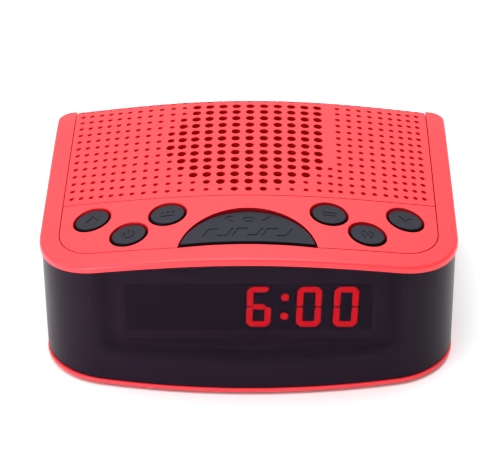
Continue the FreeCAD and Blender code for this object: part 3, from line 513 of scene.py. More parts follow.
def moulded(name, base, var=0.06, rough=(0.38, 0.46), grain=1800.0, bump=0.02, spec=0.5, cloud=28.0,
            metallic=0.0, coat=0.0, coat_rough=0.1, bump_dist=0.0001):
    """Moulded or finished surface: faint cloudy colour, uneven gloss and a fine grain."""
    mat, nt, bs, co = node_tree(name)
    f = noise(nt, co, cloud, 3.0)
    lo = tuple(c * (1 - var) for c in base)
    hi = tuple(min(1.0, c * (1 + var)) for c in base)
    nt.links.new(ramp(nt, f, [(0.3, lo), (0.5, base), (0.7, hi)]), bs.inputs["Base Color"])
    g = noise(nt, co, grain, 2.0, 0.6)
    nt.links.new(to_range(nt, g, rough[0], rough[1]), bs.inputs["Roughness"])
    bs.inputs["Specular IOR Level"].default_value = spec
    bs.inputs["Metallic"].default_value = metallic
    if coat:
        bs.inputs["Coat Weight"].default_value = coat
        bs.inputs["Coat Roughness"].default_value = coat_rough
    if bump:
        bp = nt.nodes.new("ShaderNodeBump")
        bp.inputs["Strength"].default_value = bump
        bp.inputs["Distance"].default_value = bump_dist
        nt.links.new(g, bp.inputs["Height"])
        nt.links.new(bp.outputs["Normal"], bs.inputs["Normal"])
    return mat


M = {}
M["red"] = moulded("red_plastic_moulded", (0.90, 0.030, 0.040), 0.012, (0.36, 0.44), 2600.0, 0.10, 0.5, 22.0)
# darker red for the walls of the button holes: painted shade in the holes
M["red_wall"] = moulded("red_plastic_painted_shade_wall", (0.55, 0.008, 0.014), 0.03, (0.45, 0.55), 2600.0, 0.05, 0.25, 22.0)
# dark red for the ledge under the panels and for the speaker ring: painted shade inside the case
M["red_painted_shade_inside"] = moulded("red_plastic_painted_shade_inside", (0.30, 0.004, 0.008), 0.03, (0.5, 0.6), 2600.0, 0.05, 0.15, 22.0)
# darkest red for the walls along the seams between panels: painted shade in the gaps between parts
M["red_seam"] = moulded("red_plastic_painted_shade_seam", (0.26, 0.003, 0.006), 0.03, (0.5, 0.6), 2600.0, 0.05, 0.1, 22.0)
# darker red for the walls and floors of the blind grille holes: painted shade in the recesses
M["red_hole"] = moulded("red_plastic_painted_shade_recess", (0.62, 0.012, 0.018), 0.03, (0.5, 0.6), 2600.0, 0.05, 0.15, 22.0)
# darker red for the walls of the through grille holes: painted shade in the holes
M["red_deep"] = moulded("red_plastic_painted_shade_deep", (0.50, 0.004, 0.009), 0.03, (0.5, 0.6), 2600.0, 0.05, 0.15, 22.0)
M["button"] = moulded("button_grey_moulded", (0.0095, 0.0105, 0.019), 0.06, (0.38, 0.5), 3000.0, 0.12, 0.22, 60.0)
# near-black for the lower rounding and the side of the caps: painted shade in the gap round each cap
M["button_side"] = moulded("button_grey_side", (0.0025, 0.0025, 0.004), 0.06, (0.5, 0.6), 3000.0, 0.05, 0.1, 60.0)
# dark purple chassis, its colour raised to make up for the shade behind the lens: painted light
M["chassis"] = moulded("chassis_plastic_painted_light", (0.0400, 0.0228, 0.0425), 0.05, (0.45, 0.6), 1500.0, 0.05, 0.15, 40.0)
M["black"] = moulded("black_plastic_moulded", (0.012, 0.012, 0.013), 0.08, (0.45, 0.6), 1500.0, 0.1, 0.4, 40.0)
M["rubber"] = moulded("black_rubber_moulded", (0.016, 0.016, 0.017), 0.1, (0.7, 0.85), 1800.0, 0.2, 0.3, 60.0)
M["face"] = moulded("display_face_film", (0.0002, 0.0035, 0.0110), 0.08, (0.5, 0.6), 1500.0, 0.0, 0.15, 40.0)
M["dark"] = moulded("display_unlit_film", (0.0040, 0.0050, 0.0080), 0.08, (0.5, 0.6), 1500.0, 0.0, 0.15, 40.0)
M["pcb_green"] = moulded("board_green", (0.015, 0.12, 0.045), 0.12, (0.35, 0.5), 900.0, 0.05, 0.5, 120.0)
M["pcb_tan"] = moulded("board_tan", (0.36, 0.24, 0.11), 0.1, (0.5, 0.65), 900.0, 0.05, 0.4, 120.0)
M["steel"] = moulded("zinc_plated_steel", (0.62, 0.63, 0.66), 0.08, (0.28, 0.42), 900.0, 0.05, 0.5, 200.0, metallic=1.0)
M["sleeve"] = moulded("capacitor_sleeve", (0.02, 0.03, 0.16), 0.08, (0.3, 0.4), 900.0, 0.0, 0.5, 90.0)
M["tin"] = moulded("tin_plated_can", (0.60, 0.61, 0.62), 0.08, (0.3, 0.45), 700.0, 0.05, 0.5, 150.0, metallic=1.0)
M["core"] = moulded("core_steel", (0.20, 0.20, 0.22), 0.1, (0.4, 0.55), 500.0, 0.15, 0.5, 150.0, metallic=1.0)
M["tape"] = moulded("winding_tape", (0.70, 0.52, 0.10), 0.06, (0.35, 0.45), 500.0, 0.0, 0.5, 60.0)
M["cell"] = moulded("cell_sleeve", (0.03, 0.10, 0.30), 0.06, (0.3, 0.38), 900.0, 0.0, 0.5, 40.0)
M["nickel"] = moulded("nickel_strip", (0.66, 0.62, 0.55), 0.06, (0.2, 0.32), 900.0, 0.03, 0.5, 120.0, metallic=1.0)
M["ferrite"] = moulded("ferrite_dark", (0.035, 0.034, 0.036), 0.12, (0.6, 0.75), 900.0, 0.2, 0.4, 120.0)
M["copper"] = moulded("copper_wire", (0.72, 0.28, 0.12), 0.1, (0.25, 0.35), 500.0, 0.1, 0.5, 300.0, metallic=1.0)
M["white"] = moulded("white_plastic", (0.78, 0.77, 0.73), 0.03, (0.4, 0.5), 1500.0, 0.05, 0.5, 60.0)
M["foam"] = moulded("foam_grey", (0.06, 0.06, 0.065), 0.2, (0.85, 0.95), 900.0, 0.4, 0.2, 300.0)
M["cone"] = moulded("paper_cone", (0.030, 0.029, 0.028), 0.2, (0.75, 0.9), 700.0, 0.3, 0.3, 200.0)


def glow(name, colour, strength, base):
    """Lit bar: even emission with a slightly hotter core from a soft noise."""
    mat, nt, bs, co = node_tree(name)
    f = noise(nt, co, 260.0, 2.0)
    lo = tuple(c * 0.94 for c in colour)
    nt.links.new(ramp(nt, f, [(0.25, lo), (0.75, colour)]), bs.inputs["Emission Color"])
    bs.inputs["Emission Strength"].default_value = strength
    bs.inputs["Base Color"].default_value = (*base, 1)
    bs.inputs["Roughness"].default_value = 0.5
    bs.inputs["Specular IOR Level"].default_value = 0.2
    return mat


M["lit"] = glow("display_lit_red", (1.0, 0.001, 0.004), 1.70, (0.05, 0.002, 0.003))


def band_mask(nt, value, lo, hi, soft):
    """1 between lo and hi, falling smoothly to 0 over soft on both sides."""
    outs = []
    for edge, sign in ((lo, 1), (hi, -1)):
        m = nt.nodes.new("ShaderNodeMapRange")
        m.interpolation_type = "SMOOTHSTEP"
        m.inputs["From Min"].default_value = edge - sign * soft
        m.inputs["From Max"].default_value = edge
        m.inputs["To Min"].default_value, m.inputs["To Max"].default_value = 0.0, 1.0
        nt.links.new(value, m.inputs["Value"])
        outs.append(m.outputs["Result"])
    mul = nt.nodes.new("ShaderNodeMath")
    mul.operation = "MULTIPLY"
    nt.links.new(outs[0], mul.inputs[0])
    nt.links.new(outs[1], mul.inputs[1])
    return mul.outputs["Value"]


def smoked(name):
    """Dark tinted acrylic, painted behind except for a soft-edged area in front of the display."""
    mat, nt, bs, co = node_tree(name)
    f = noise(nt, co, 14.0, 2.0)
    nt.links.new(ramp(nt, f, [(0.3, (0.0088, 0.0031, 0.0102)), (0.7, (0.0098, 0.0035, 0.0112))]), bs.inputs["Base Color"])
    g = noise(nt, co, 900.0, 2.0)
    nt.links.new(to_range(nt, g, 0.30, 0.34), bs.inputs["Roughness"])
    bs.inputs["Specular IOR Level"].default_value = 0.09
    sx = nt.nodes.new("ShaderNodeSeparateXYZ")
    nt.links.new(co, sx.inputs["Vector"])
    mx = band_mask(nt, sx.outputs["X"], -0.0425, 0.0428, 0.010)
    mz = band_mask(nt, sx.outputs["Z"], 0.0190, 0.0445, 0.008)
    mm = nt.nodes.new("ShaderNodeMath")
    mm.operation = "MULTIPLY"
    nt.links.new(mx, mm.inputs[0])
    nt.links.new(mz, mm.inputs[1])
    nt.links.new(to_range(nt, mm.outputs["Value"], 1.0, 0.40), bs.inputs["Alpha"])
    return mat


M["lens"] = smoked("smoked_lens_acrylic")

# ------------------------------------------------------------------ top bezel
STEP = 2.0
bez = Builder()
run = front_run(0.0, STEP)
rear_r = rear_run(0.0, 1.2, None, GROOVE_X)
rear_l = [(-x, y) for x, y in reversed(rear_r)]
y_in = rear_r[-1][1]
outer_pts = rear_l + run + rear_r
inner_pts = list(reversed(inset_run(0.0, STEP, y_in)))
# small steps at the corners where the wide and the fine rounding meet
tail = [(GROOVE_X, y_in - 0.9)]
head = [(-GROOVE_X, y_in - 0.9)]
inner_pts = [p for p in inner_pts if p[1] < y_in - 1.0]
loop_pts = clean(outer_pts + tail + inner_pts + head)
n_outer = None
R = np.empty(len(loop_pts))
for i, p in enumerate(loop_pts):
    q = loop_pts[(i + 1) % len(loop_pts)]
    mx, my = (p[0] + q[0]) / 2, (p[1] + q[1]) / 2
    on_inner = abs(mx) <= GROOVE_X + 0.01 and my < y_in - 0.001 and my > YF + 5.5 + BEND * mx * mx
    R[i] = 0.06 if on_inner else 0.95
st = grid(-70, 70, -54, 54, 2.6)
plate(bez, [Loop(loop_pts, R, rb=0.25)], surf, lowered(surf, RIM_H), st, K=5)
# ledge that carries the panels, in the dark red of slot 1: painted shade under the panels
lo_out = clean(front_run(FRAME_IN + 0.15, 3.0) + rear_run(FRAME_IN + 0.15, 3.0, None, 0.0)[:-1]
               + [(-x, y) for x, y in reversed(rear_run(FRAME_IN + 0.15, 3.0, None, 0.0))])
w_, r1_, rc_, cy_, yc_, fx_, t1_, rr_, yr_, cb_, r2_, gx_, t2_ = outline_data(6.4)
ih = clean(inset_run(-1.8, 3.0, cb_ - sqrt(r2_ ** 2 - (GROOVE_X - 1.8) ** 2))
           + [(x, cb_ - sqrt(r2_ ** 2 - x * x)) for x in np.arange(GROOVE_X - 4.8, -GROOVE_X + 3.0, -3.0)])
plate(bez, [Loop(lo_out, 0.05, mat=1), Loop(ih[::-1], 0.05, mat=1)], lowered(surf, RIM_H + 0.02), lowered(surf, RIM_H + LEDGE_T), [], K=2, mat=1)
bezel = bez.make("bezel_moulding", [M["red"], M["red_painted_shade_inside"]])
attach(bezel, "cabinet")
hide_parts("top_bezel")

# ------------------------------------------------------------------ button panel
pan = Builder()
off = -SEAM
w_, r1_, rc_, cy_, yc_, fx_, t1_, ys_, xs_ = inset_data(off)
d_back = DIVIDE_D - SEAM / 2
y_side = YF + d_back + BEND * w_ * w_
r_open = (SNOOZE_HALF ** 2 + SNOOZE_H ** 2) / (2 * SNOOZE_H)
cy_open = YF + SNOOZE_Y + SNOOZE_H - r_open
# corner where the snooze opening meets the groove curve
xc = SNOOZE_HALF
for _ in range(30):
    yy = cy_ - sqrt(r1_ ** 2 - xc ** 2)
    xc = sqrt(r_open ** 2 - (yy - cy_open) ** 2)
yy = cy_ - sqrt(r1_ ** 2 - xc ** 2)
a_t = atan2(t1_[1] - yc_, t1_[0] - fx_)
right = arc(0, cy_, r1_, atan2(yy - cy_, xc), atan2(t1_[1] - cy_, t1_[0]), STEP)
right += arc(fx_, yc_, rc_, a_t, 0.0, 1.0)
right += line((w_, yc_), (w_, y_side), STEP)
back = row_line(d_back, w_, -w_, 2.0)
left = [(-x, y) for x, y in reversed(right)]
a0 = atan2(yy - cy_open, -xc)
a1 = atan2(yy - cy_open, xc)
if a0 < 0:
    a0 += 2 * pi
moon = arc(0, cy_open, r_open, a0, a1, 0.9)
ppts = clean(right + back + left[:-1] + [(-xc, yy)] + moon[1:])
# the outline and snooze-opening walls take the darkest red in slot 2: painted shade in the seams between parts
loops = [Loop(ppts, 0.06, wall_mat=2)]
# the button-hole walls take the darker red in slot 1: painted shade in the holes
for x, d in BUTTONS:
    loops.append(Loop(circle(x, YF + d, BTN_HOLE, 72), 0.25, wall_mat=1))
plate(pan, loops, surf, lowered(surf, PANEL_T), grid(-63, 63, -50, 0, 2.4), K=4)
panel = pan.make("button_panel_moulding", [M["red"], M["red_wall"], M["red_seam"]])
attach(panel, "cabinet")
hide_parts("button_panel")

# ------------------------------------------------------------------ speaker grille
ROLL = 2.0


def grille_top(x, y):
    x = np.asarray(x, float)
    y = np.asarray(y, float)
    t = np.clip(YF + DEPTH_MID + BEND * x * x - y, 0.0, ROLL)
    return surf(x, y) - (ROLL - np.sqrt(np.maximum(ROLL ** 2 - (ROLL - t) ** 2, 0.0))) * 0.92


gri = Builder()
gw = GROOVE_X - SEAM
front = row_line(DIVIDE_D + SEAM / 2, -gw, gw, 2.0)
rear = row_line(DEPTH_MID, gw, -gw, 1.6)
sidep = line(front[-1], rear[0], 2.0)[1:]
sidel = [(-x, y) for x, y in reversed(sidep)]
gpts = clean(front + sidep + rear + sidel)
left_cols = [0.0]
for p in [4.75, 4.65, 4.65, 4.55, 4.35, 4.0, 4.15, 3.9, 3.8, 3.7, 3.5, 3.35, 3.4, 3.45, 3.3]:
    left_cols.append(left_cols[-1] - p)
mid_x = [4.85, 9.6, 14.3, 18.95, 23.4]
SIDE_X = [30.4, 34.3, 38.0, 41.8, 45.6, 49.1, 52.4, 55.6, 58.65]
SIDE_ROWS, BIG, MID, SMALL, SPK_D, GR = 15, 1.5, 1.2, 0.88, 65.9, 27.9
# the outline walls take the darkest red in slot 1: painted shade in the seam between parts
gl = [Loop(gpts, 0.06, wall_mat=1)]


# blind holes take the darker red in slot 2 on walls and floor: painted shade in the recesses
def put(x, d, r, last=False):
    y = YF + d + BEND * x * x
    if last:
        gl.append(Loop(circle(x, y, min(r, 1.1), 20), 0.10, depth=1.5, mat=2, wall_mat=2))
    elif r > 1.0:
        gl.append(Loop(circle(x, y, r, 24), 0.14, wall_mat=3))
    else:
        gl.append(Loop(circle(x, y, r, 16), 0.10, depth=1.3, mat=2, wall_mat=2))


for i in range(ROWS):
    d = ROW_FIRST + ROW_PITCH * i
    for x in left_cols + mid_x + ([27.2] if i < 4 else []):
        rad = sqrt(x * x + (d - SPK_D) ** 2)
        top_ = i >= 8 and -21.0 < x < 25.0
        put(x, d, BIG if (rad < GR - 0.9 or top_) else (MID if rad < GR + 0.5 else SMALL), i == ROWS - 1)
p_side = ROW_PITCH * (ROWS - 1) / (SIDE_ROWS - 1)
for i in range(SIDE_ROWS):
    for x in SIDE_X:
        put(x, ROW_FIRST + p_side * i, SMALL, i == SIDE_ROWS - 1)
st = []
for k in range(1, 7):
    t = ROLL * (1 - sin(pi / 2 * k / 7))
    st += [(x, YF + DEPTH_MID - t + BEND * x * x) for x in np.arange(-61.4, 61.5, 1.6)]
st += grid(-62, 62, YF + 34, YF + 104, 2.2)
st = [p for p in st if p[1] < YF + DEPTH_MID - 0.2 + BEND * p[0] ** 2]
plate(gri, gl, grille_top, lowered(surf, PANEL_T), st, K=3)
# slot 3, the darker red on the walls of the through holes, is painted shade in the holes
grille = gri.make("speaker_grille_moulding", [M["red"], M["red_seam"], M["red_hole"], M["red_deep"]])
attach(grille, "cabinet")
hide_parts("speaker_grille")


# ------------------------------------------------------------------ buttons
def stroke(pts, w):
    """Closed outline of a bent line of width w, clockwise, with blunt ends."""
    P = np.array(pts, float)
    T = np.gradient(P, axis=0)
    T /= np.linalg.norm(T, axis=1, keepdims=True)
    N = np.stack([-T[:, 1], T[:, 0]], 1)
    a, c = P + N * w / 2, P - N * w / 2
    return cw(list(map(tuple, a)) + list(map(tuple, c[::-1])))


def cw(pts):
    P = np.array(pts, float)
    x, y = P[:, 0], P[:, 1]
    area = (x * np.roll(y, -1) - np.roll(x, -1) * y).sum() / 2
    return pts if area < 0 else pts[::-1]


def arc_stroke(cx, cy, r, a0, a1, w, n=14):
    return stroke([(cx + r * cos(radians(a0 + (a1 - a0) * k / n)), cy + r * sin(radians(a0 + (a1 - a0) * k / n))) for k in range(n + 1)], w)


def bar_shape(x0, y0, x1, y1, w):
    return stroke([(x0, y0), ((x0 + x1) / 2, (y0 + y1) / 2), (x1, y1)], w)


def crescent(cx, cy, r, shift):
    o = [(cx + r * cos(a), cy + r * sin(a)) for a in np.linspace(radians(50), radians(310), 16)]
    i = [(cx + shift + r * 0.8 * cos(a), cy + r * 0.8 * sin(a)) for a in np.linspace(radians(288), radians(72), 12)]
    return cw(o + i)


ICONS = [
    # rising marker
    [cw([(-2.5, -1.5), (0.0, 2.4), (2.5, -1.5), (1.5, -1.5), (0.0, 0.8), (-1.5, -1.5)])],
    # half ring with a tick
    [arc_stroke(0, -0.2, 2.0, -230, 50, 0.55), bar_shape(0.0, 0.3, 0.0, 2.6, 0.55)],
    # three dots and a dash
    [cw(circle(-1.9, 1.1, 0.5, 10)), cw(circle(0.0, 1.1, 0.5, 10)), cw(circle(1.9, 1.1, 0.5, 10)), bar_shape(-2.2, -1.2, 2.2, -1.2, 0.6)],
    # two level bars
    [bar_shape(-2.4, 0.9, 2.4, 0.9, 0.55), bar_shape(-2.4, -0.9, 2.4, -0.9, 0.55)],
    # ring arcs
    [arc_stroke(0, 0, 2.1, 110, 250, 0.5), arc_stroke(0, 0, 2.1, -70, 70, 0.5), cw(circle(0, 0, 0.6, 10))],
    # falling marker
    [cw([(-2.5, 1.5), (-1.5, 1.5), (0.0, -0.8), (1.5, 1.5), (2.5, 1.5), (0.0, -2.4)])],
]
# each cap's side and the lower three stages of its rounding take the near-black in slot 1: painted shade in the gap
# round the cap
KEY_TOP = []
for n, (x, d) in enumerate(BUTTONS):
    y = YF + d
    z_mid = float(surf(x, y)) - CAP_DROP

    def cap_top(px, py, x=x, z_mid=z_mid):
        px = np.asarray(px, float)
        return z_mid - ARCH2 * (px ** 2 - x * x) - ARCH4 * (px ** 4 - x ** 4) + 0.0 * np.asarray(py)

    lo_, hi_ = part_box("button_%d" % (n + 1))
    ang = np.linspace(0, 2 * pi, 24, endpoint=False)
    fz1 = float(surf(x + 7 * np.cos(ang), y + 7 * np.sin(ang)).min()) - PANEL_T - 0.35
    b = Builder()
    loops = [Loop(circle(x, y, BTN_R, 72, cw=False), 0.45, wall_mat=1, skirt=3)]
    for shape in ICONS[n]:
        loops.append(Loop([(x + px * 0.92, y + py * 0.92) for px, py in shape], 0.05, depth=0.22))
    plate(b, loops, cap_top, lambda px, py, z=fz1 - 0.02: np.full(np.shape(px), z), grid(x - 6, x + 6, y - 6, y + 6, 1.1), K=5)
    # retaining flange and stem
    flat = lambda z: (lambda px, py: np.full(np.shape(px), z))
    plate(b, [Loop(circle(x, y, 6.78, 48, cw=False), 0.12)], flat(fz1), flat(fz1 - 1.0), [], K=2)
    plate(b, [Loop(circle(x, y, 2.0, 28, cw=False), 0.05, rb=0.2)], flat(fz1 - 0.98), flat(39.6), [], K=2)
    cap = b.make("button_cap_%d" % (n + 1), [M["button"], M["button_side"]])
    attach(cap, "push_button_%d" % (n + 1))
    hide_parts("button_%d" % (n + 1))

# ------------------------------------------------------------------ snooze bar
sy0 = YF + SNOOZE_Y + FRONT_GAP
r_cap = r_open - SNOOZE_GAP
shalf = sqrt(r_cap ** 2 - (sy0 - cy_open) ** 2)
z_s = float(surf(0.0, YF + 17.2)) - BAR_DROP


def snooze_top(px, py):
    px = np.asarray(px, float)
    return z_s - ARCH2 * px ** 2 - ARCH4 * px ** 4 + 0.0 * np.asarray(py)


a0, a1 = atan2(sy0 - cy_open, shalf), atan2(sy0 - cy_open, -shalf)
if a1 < 0:
    a1 += 2 * pi
bar_pts = line((-shalf, sy0), (shalf, sy0), 1.2) + arc(0, cy_open, r_cap, a0, a1, 0.8)
und = float(min(surf(21.0, YF + 12.0), surf(0.0, YF + 8.5), surf(23.5, YF + 10.0))) - PANEL_T - 0.35
b = Builder()
# the bar's side and the lower three stages of its rounding take the near-black in slot 1: painted shade in the gap
# round the bar
loops = [Loop(bar_pts, 0.45, wall_mat=1, skirt=3)]
slant = 0.42


def para(cx, cd, w, h):
    y0, y1 = YF + cd - h / 2, YF + cd + h / 2
    s = slant * h / 2
    return cw([(cx - w / 2 - s, y0), (cx + w / 2 - s, y0), (cx + w / 2 + s, y1), (cx - w / 2 + s, y1)])


def hook(cx, cd, w, h, t, kind):
    """Slanted open frame: a bar with one or two arms, in sheared coordinates."""
    shapes = {
        0: [(-w / 2, h / 2), (w / 2, h / 2), (w / 2, h / 2 - t), (-w / 2 + t, h / 2 - t), (-w / 2 + t, -h / 2), (-w / 2, -h / 2)],
        1: [(-w / 2, -h / 2), (w / 2, -h / 2), (w / 2, h / 2), (w / 2 - t, h / 2), (w / 2 - t, -h / 2 + t), (-w / 2, -h / 2 + t)],
    }
    return cw([(cx + a + slant * c, YF + cd + c) for a, c in shapes[kind]])


# a row of slanted open marks, and three small signs above it
for k in range(6):
    cx = -11.9 + 4.75 * k
    loops.append(Loop(hook(cx, 14.4, 3.4, 4.6, 0.62, k % 2), 0.05, depth=0.24))
loops.append(Loop(crescent(-5.6, YF + 22.4, 1.7, 0.9), 0.05, depth=0.24))
loops.append(Loop(arc_stroke(0.2, YF + 21.2, 1.9, 20, 160, 0.5), 0.05, depth=0.24))
loops.append(Loop(bar_shape(-1.2, YF + 20.7, 1.6, YF + 20.7, 0.5), 0.05, depth=0.24))
loops.append(Loop(bar_shape(4.6, YF + 20.9, 7.2, YF + 23.6, 0.55), 0.05, depth=0.24))
plate(b, loops, snooze_top, lambda px, py: np.full(np.shape(px), und - 0.02), grid(-22, 22, sy0, sy0 + 20, 1.3), K=5)
# flange behind and at the sides, and three stems
fl = clean([(-shalf - 1.2, YF + 10.15), (shalf + 1.2, YF + 10.15)]
           + [(px, py) for px, py in arc(0, cy_open, r_cap + 1.25, atan2(YF + 10.6 - cy_open, shalf + 1.0),
                                          pi - atan2(YF + 10.6 - cy_open, shalf + 1.0), 1.2) if py > YF + 10.3])
plate(b, [Loop(fl, 0.1)], lambda px, py: np.full(np.shape(px), und), lambda px, py: np.full(np.shape(px), und - 1.2), [], K=2)
for sx in (-13.0, 0.0, 13.0):
    zlow = 39.6 if sx == 0.0 else 38.5
    plate(b, [Loop(circle(sx, YF + 19.2, 2.0, 28, cw=False), 0.05, rb=0.2)],
          lambda px, py: np.full(np.shape(px), und - 1.18), lambda px, py, z=zlow: np.full(np.shape(px), z), [], K=2)
snooze = b.make("snooze_bar_cap", [M["button"], M["button_side"]])
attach(snooze, "snooze_bar")
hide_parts("snooze_button")

# ------------------------------------------------------------------ lens
def wall(b, inset, thick, z0, top, y_ends, step, window=None, r=0.25):
    """Upright sheet that follows the outline round the front, with rounded top edge and end faces."""
    P = np.array(front_run(inset, step, y_ends))
    if window:
        # exact columns at the window's ends
        ins = []
        for xw in (window[0], window[1]):
            w, r1, rc, cy, yc, fx, t1 = outline_data(inset)[:7]
            ins.append((xw, cy - sqrt(r1 ** 2 - xw * xw)))
        Q = [tuple(p) for p in P]
        for q in ins:
            best = min(range(len(Q) - 1), key=lambda i: abs(Q[i][0] - q[0]) + abs(Q[i + 1][0] - q[0]) + abs(Q[i][1] - q[1]))
            Q.insert(best + 1, q)
        Q = [p for i, p in enumerate(Q) if i == 0 or hypot(p[0] - Q[i - 1][0], p[1] - Q[i - 1][1]) > 0.05]
        P = np.array(Q)
    T = np.gradient(P, axis=0)
    T /= np.linalg.norm(T, axis=1, keepdims=True)
    O = np.stack([T[:, 1], -T[:, 0]], 1)          # outward
    I = P - O * thick
    zt = top(P[:, 0], P[:, 1])
    zi = top(P[:, 0], P[:, 1])
    n = len(P)
    prof = []                                      # (inward distance, height rule, normal out part, normal up part)
    zs = [z0 + r] + ([window[2], window[3]] if window else [])
    prof.append((r, lambda i: z0, 0.0, -1.0))
    prof.append((r * 0.3, lambda i: z0 + r * 0.3, 0.7, -0.7))
    for z in zs:
        prof.append((0.0, lambda i, z=z: z, 1.0, 0.0))
    for k in range(0, 5):
        th = pi / 2 * k / 4
        prof.append((r * (1 - cos(th)), lambda i, th=th: zt[i] - r + r * sin(th), cos(th), sin(th)))
    for k in range(0, 5):
        th = pi / 2 * k / 4
        prof.append((thick - r + r * sin(th), lambda i, th=th: zt[i] - r + r * cos(th), -sin(th), cos(th)))
    prof.append((thick, lambda i: z0 + r, -1.0, 0.0))
    prof.append((thick - r, lambda i: z0, 0.0, -1.0))
    m = len(prof)
    base = []
    for i in range(n):
        ring = []
        for dist, zf, _, _ in prof:
            ring.append((P[i, 0] - O[i, 0] * dist, P[i, 1] - O[i, 1] * dist, zf(i)))
        base.append(b.add(ring))

    def nrm(i, j):
        o, u = prof[j][2], prof[j][3]
        v = np.array([O[i, 0] * o, O[i, 1] * o, u])
        return v / np.linalg.norm(v)

    for i in range(n - 1):
        for j in range(m):
            j2 = (j + 1) % m
            mat = 0
            if window:
                xm = (P[i, 0] + P[i + 1, 0]) / 2
                za, zb_ = prof[j][1](i), prof[j2][1](i)
                front = prof[j][0] == 0.0 and prof[j2][0] == 0.0
                if front and window[0] < xm < window[1] and P[i, 1] < YF + 20 and window[2] - 0.01 <= za and zb_ <= window[3] + 0.01:
                    mat = 1
                if j == m - 3 and window[0] < xm < window[1] and P[i, 1] < YF + 20:
                    mat = 1
            b.face((base[i] + j, base[i + 1] + j, base[i + 1] + j2, base[i] + j2),
                   (nrm(i, j), nrm(i + 1, j), nrm(i + 1, j2), nrm(i, j2)), mat)
    for i, flip in ((0, False), (n - 1, True)):
        idx = [base[i] + j for j in range(m)]
        tn = -T[i] if not flip else T[i]
        if flip:
            idx = idx[::-1]
        b.face(idx, [(tn[0], tn[1], 0.0)] * m, 0)
    return b


lens_b = wall(Builder(), LENS_IN, LENS_T, LIP_Z + 0.1, lowered(surf, RIM_H + 0.5), YF + REAR_D + BEND * 68.35 ** 2, 1.6)
lens = lens_b.make("wraparound_lens", [M["lens"]])
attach(lens, "cabinet")
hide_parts("front_lens")

# ------------------------------------------------------------------ carried-over CAD pieces
FINISH = {
    # the chassis frame takes that raised colour: painted light behind the lens
    "base_shell": "red", "battery_door": "red", "rubber_feet": "rubber", "chassis_frame": "chassis",
    # the speaker ring takes the dark red: painted shade inside the case
    "rear_cover": "black", "cord_bush": "rubber", "speaker_ring": "red_painted_shade_inside", "switch_bodies": "black",
    "button_guide": "black", "key_board": "pcb_tan", "case_screws": "steel", "key_board_screws": "steel",
    "panel_screws": "steel", "speaker_gasket": "foam", "speaker_basket": "steel", "speaker_magnet": "ferrite",
    "speaker_cone": "cone", "speaker_screws": "steel", "display_housing": "black", "display_filter": "face",
    "display_segments_lit": "lit", "display_segments_dark": "dark", "display_board": "pcb_green",
    "display_screws": "steel", "main_board": "pcb_tan", "main_board_screws": "steel", "ic_packages": "black",
    "capacitors": "sleeve", "tuning_coils": "tin", "transformer_core": "core", "transformer_winding": "tape",
    "transformer_screws": "steel", "backup_cells": "cell", "battery_contacts": "nickel", "ferrite_rod": "ferrite",
    "antenna_coil": "copper", "antenna_holders": "white", "plunger_snooze": "white",
}
for n in range(1, 7):
    FINISH["plunger_%d" % n] = "white"
for name, key in FINISH.items():
    ob = NODES[name]
    if ob.material_slots:
        for s in ob.material_slots:
            s.material = M[key]
    else:
        ob.data.materials.append(M[key])

# ------------------------------------------------------------------ floor, light and camera
fb = Builder()
N = 24
half = 1500.0
gridv = [[fb.add([(-half + 2 * half * i / N, -half + 2 * half * j / N, 0.0)]) for i in range(N + 1)] for j in range(N + 1)]
for j in range(N):
    for i in range(N):
        fb.face((gridv[j][i], gridv[j][i + 1], gridv[j + 1][i + 1], gridv[j + 1][i]), [(0, 0, 1)] * 4)
floor_mat = moulded("pale_paper_floor", (0.93, 0.93, 0.935), 0.004, (0.8, 0.9), 400.0, 0.0, 0.2, 3.0)
floor = fb.make("floor", [floor_mat])

world = bpy.data.worlds.new("studio")
bpy.context.scene.world = world
world.use_nodes = True
wt = world.node_tree
wt.nodes.clear()
wo = wt.nodes.new("ShaderNodeOutputWorld")
bg = wt.nodes.new("ShaderNodeBackground")
tcw = wt.nodes.new("ShaderNodeTexCoord")
sep = wt.nodes.new("ShaderNodeSeparateXYZ")
wt.links.new(tcw.outputs["Generated"], sep.inputs["Vector"])
rear = wt.nodes.new("ShaderNodeMapRange")
rear.interpolation_type = "SMOOTHSTEP"
rear.inputs["From Min"].default_value, rear.inputs["From Max"].default_value = 0.45, 0.95
rear.inputs["To Min"].default_value, rear.inputs["To Max"].default_value = 0.0, 0.75
wt.links.new(sep.outputs["Y"], rear.inputs["Value"])
up = wt.nodes.new("ShaderNodeMapRange")
up.interpolation_type = "SMOOTHSTEP"
up.inputs["From Min"].default_value, up.inputs["From Max"].default_value = 0.1, 0.8
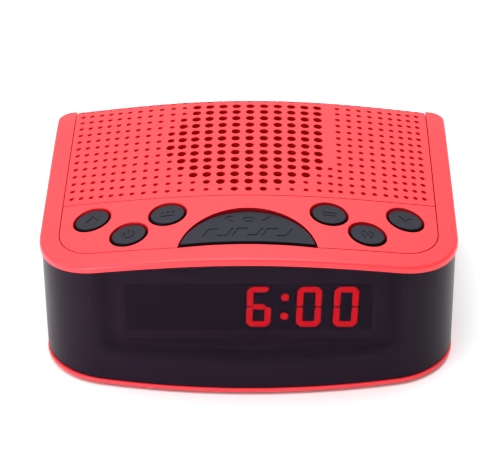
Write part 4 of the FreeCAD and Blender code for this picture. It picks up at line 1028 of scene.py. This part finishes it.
up.inputs["To Min"].default_value, up.inputs["To Max"].default_value = 0.20, 0.95
wt.links.new(sep.outputs["Z"], up.inputs["Value"])
add = wt.nodes.new("ShaderNodeMath")
add.operation = "ADD"
wt.links.new(rear.outputs["Result"], add.inputs[0])
wt.links.new(up.outputs["Result"], add.inputs[1])
wt.links.new(add.outputs["Value"], bg.inputs["Strength"])
wt.links.new(bg.outputs["Background"], wo.inputs["Surface"])


def softbox(name, loc, target, size, power, colour=(1, 1, 1)):
    li = bpy.data.lights.new(name, "AREA")
    li.shape = "RECTANGLE"
    li.size, li.size_y = size
    li.energy = power
    li.color = colour
    ob = bpy.data.objects.new(name, li)
    bpy.context.scene.collection.objects.link(ob)
    ob.location = loc
    ob.rotation_euler = (Vector(target) - Vector(loc)).to_track_quat("-Z", "Y").to_euler()
    return ob


softbox("top_softbox", (-0.04, 0.0, 0.95), (0, 0, 0.03), (1.0, 1.0), 11.2)
softbox("left_strip", (-0.46, -0.50, 0.07), (-0.05, -0.04, 0.03), (0.05, 0.12), 2.6, (1.0, 0.80, 0.92))
softbox("left_softbox", (-0.95, 0.05, 0.50), (0, 0, 0.03), (0.5, 0.5), 1.9)
softbox("front_fill", (-0.45, -0.95, 0.80), (0, 0, 0.03), (0.7, 0.5), 0.8)

cam = bpy.data.cameras.new("camera")
cam.sensor_width = 36.0
cam.lens = 151.8746665
cam.clip_start, cam.clip_end = 0.05, 20.0
co = bpy.data.objects.new("camera", cam)
bpy.context.scene.collection.objects.link(co)
r2v = Vector((0.99990882, 0.01153899, -0.00701514))
u2v = Vector((-0.00021093924, 0.532765043, 0.846263177))
bkv = Vector((0.01350244, -0.84618453, 0.5327189))
mat4 = Matrix((r2v, u2v, bkv)).transposed().to_4x4()
mat4.translation = Vector((0.00984827417, -0.61108433413, 0.41422126251))
co.matrix_world = mat4
bpy.context.scene.camera = co
bpy.context.scene.view_settings.view_transform = "Standard"
bpy.context.scene.view_settings.look = "None"
bpy.context.scene.view_settings.exposure = 0.0
bpy.context.scene.view_settings.gamma = 1.0
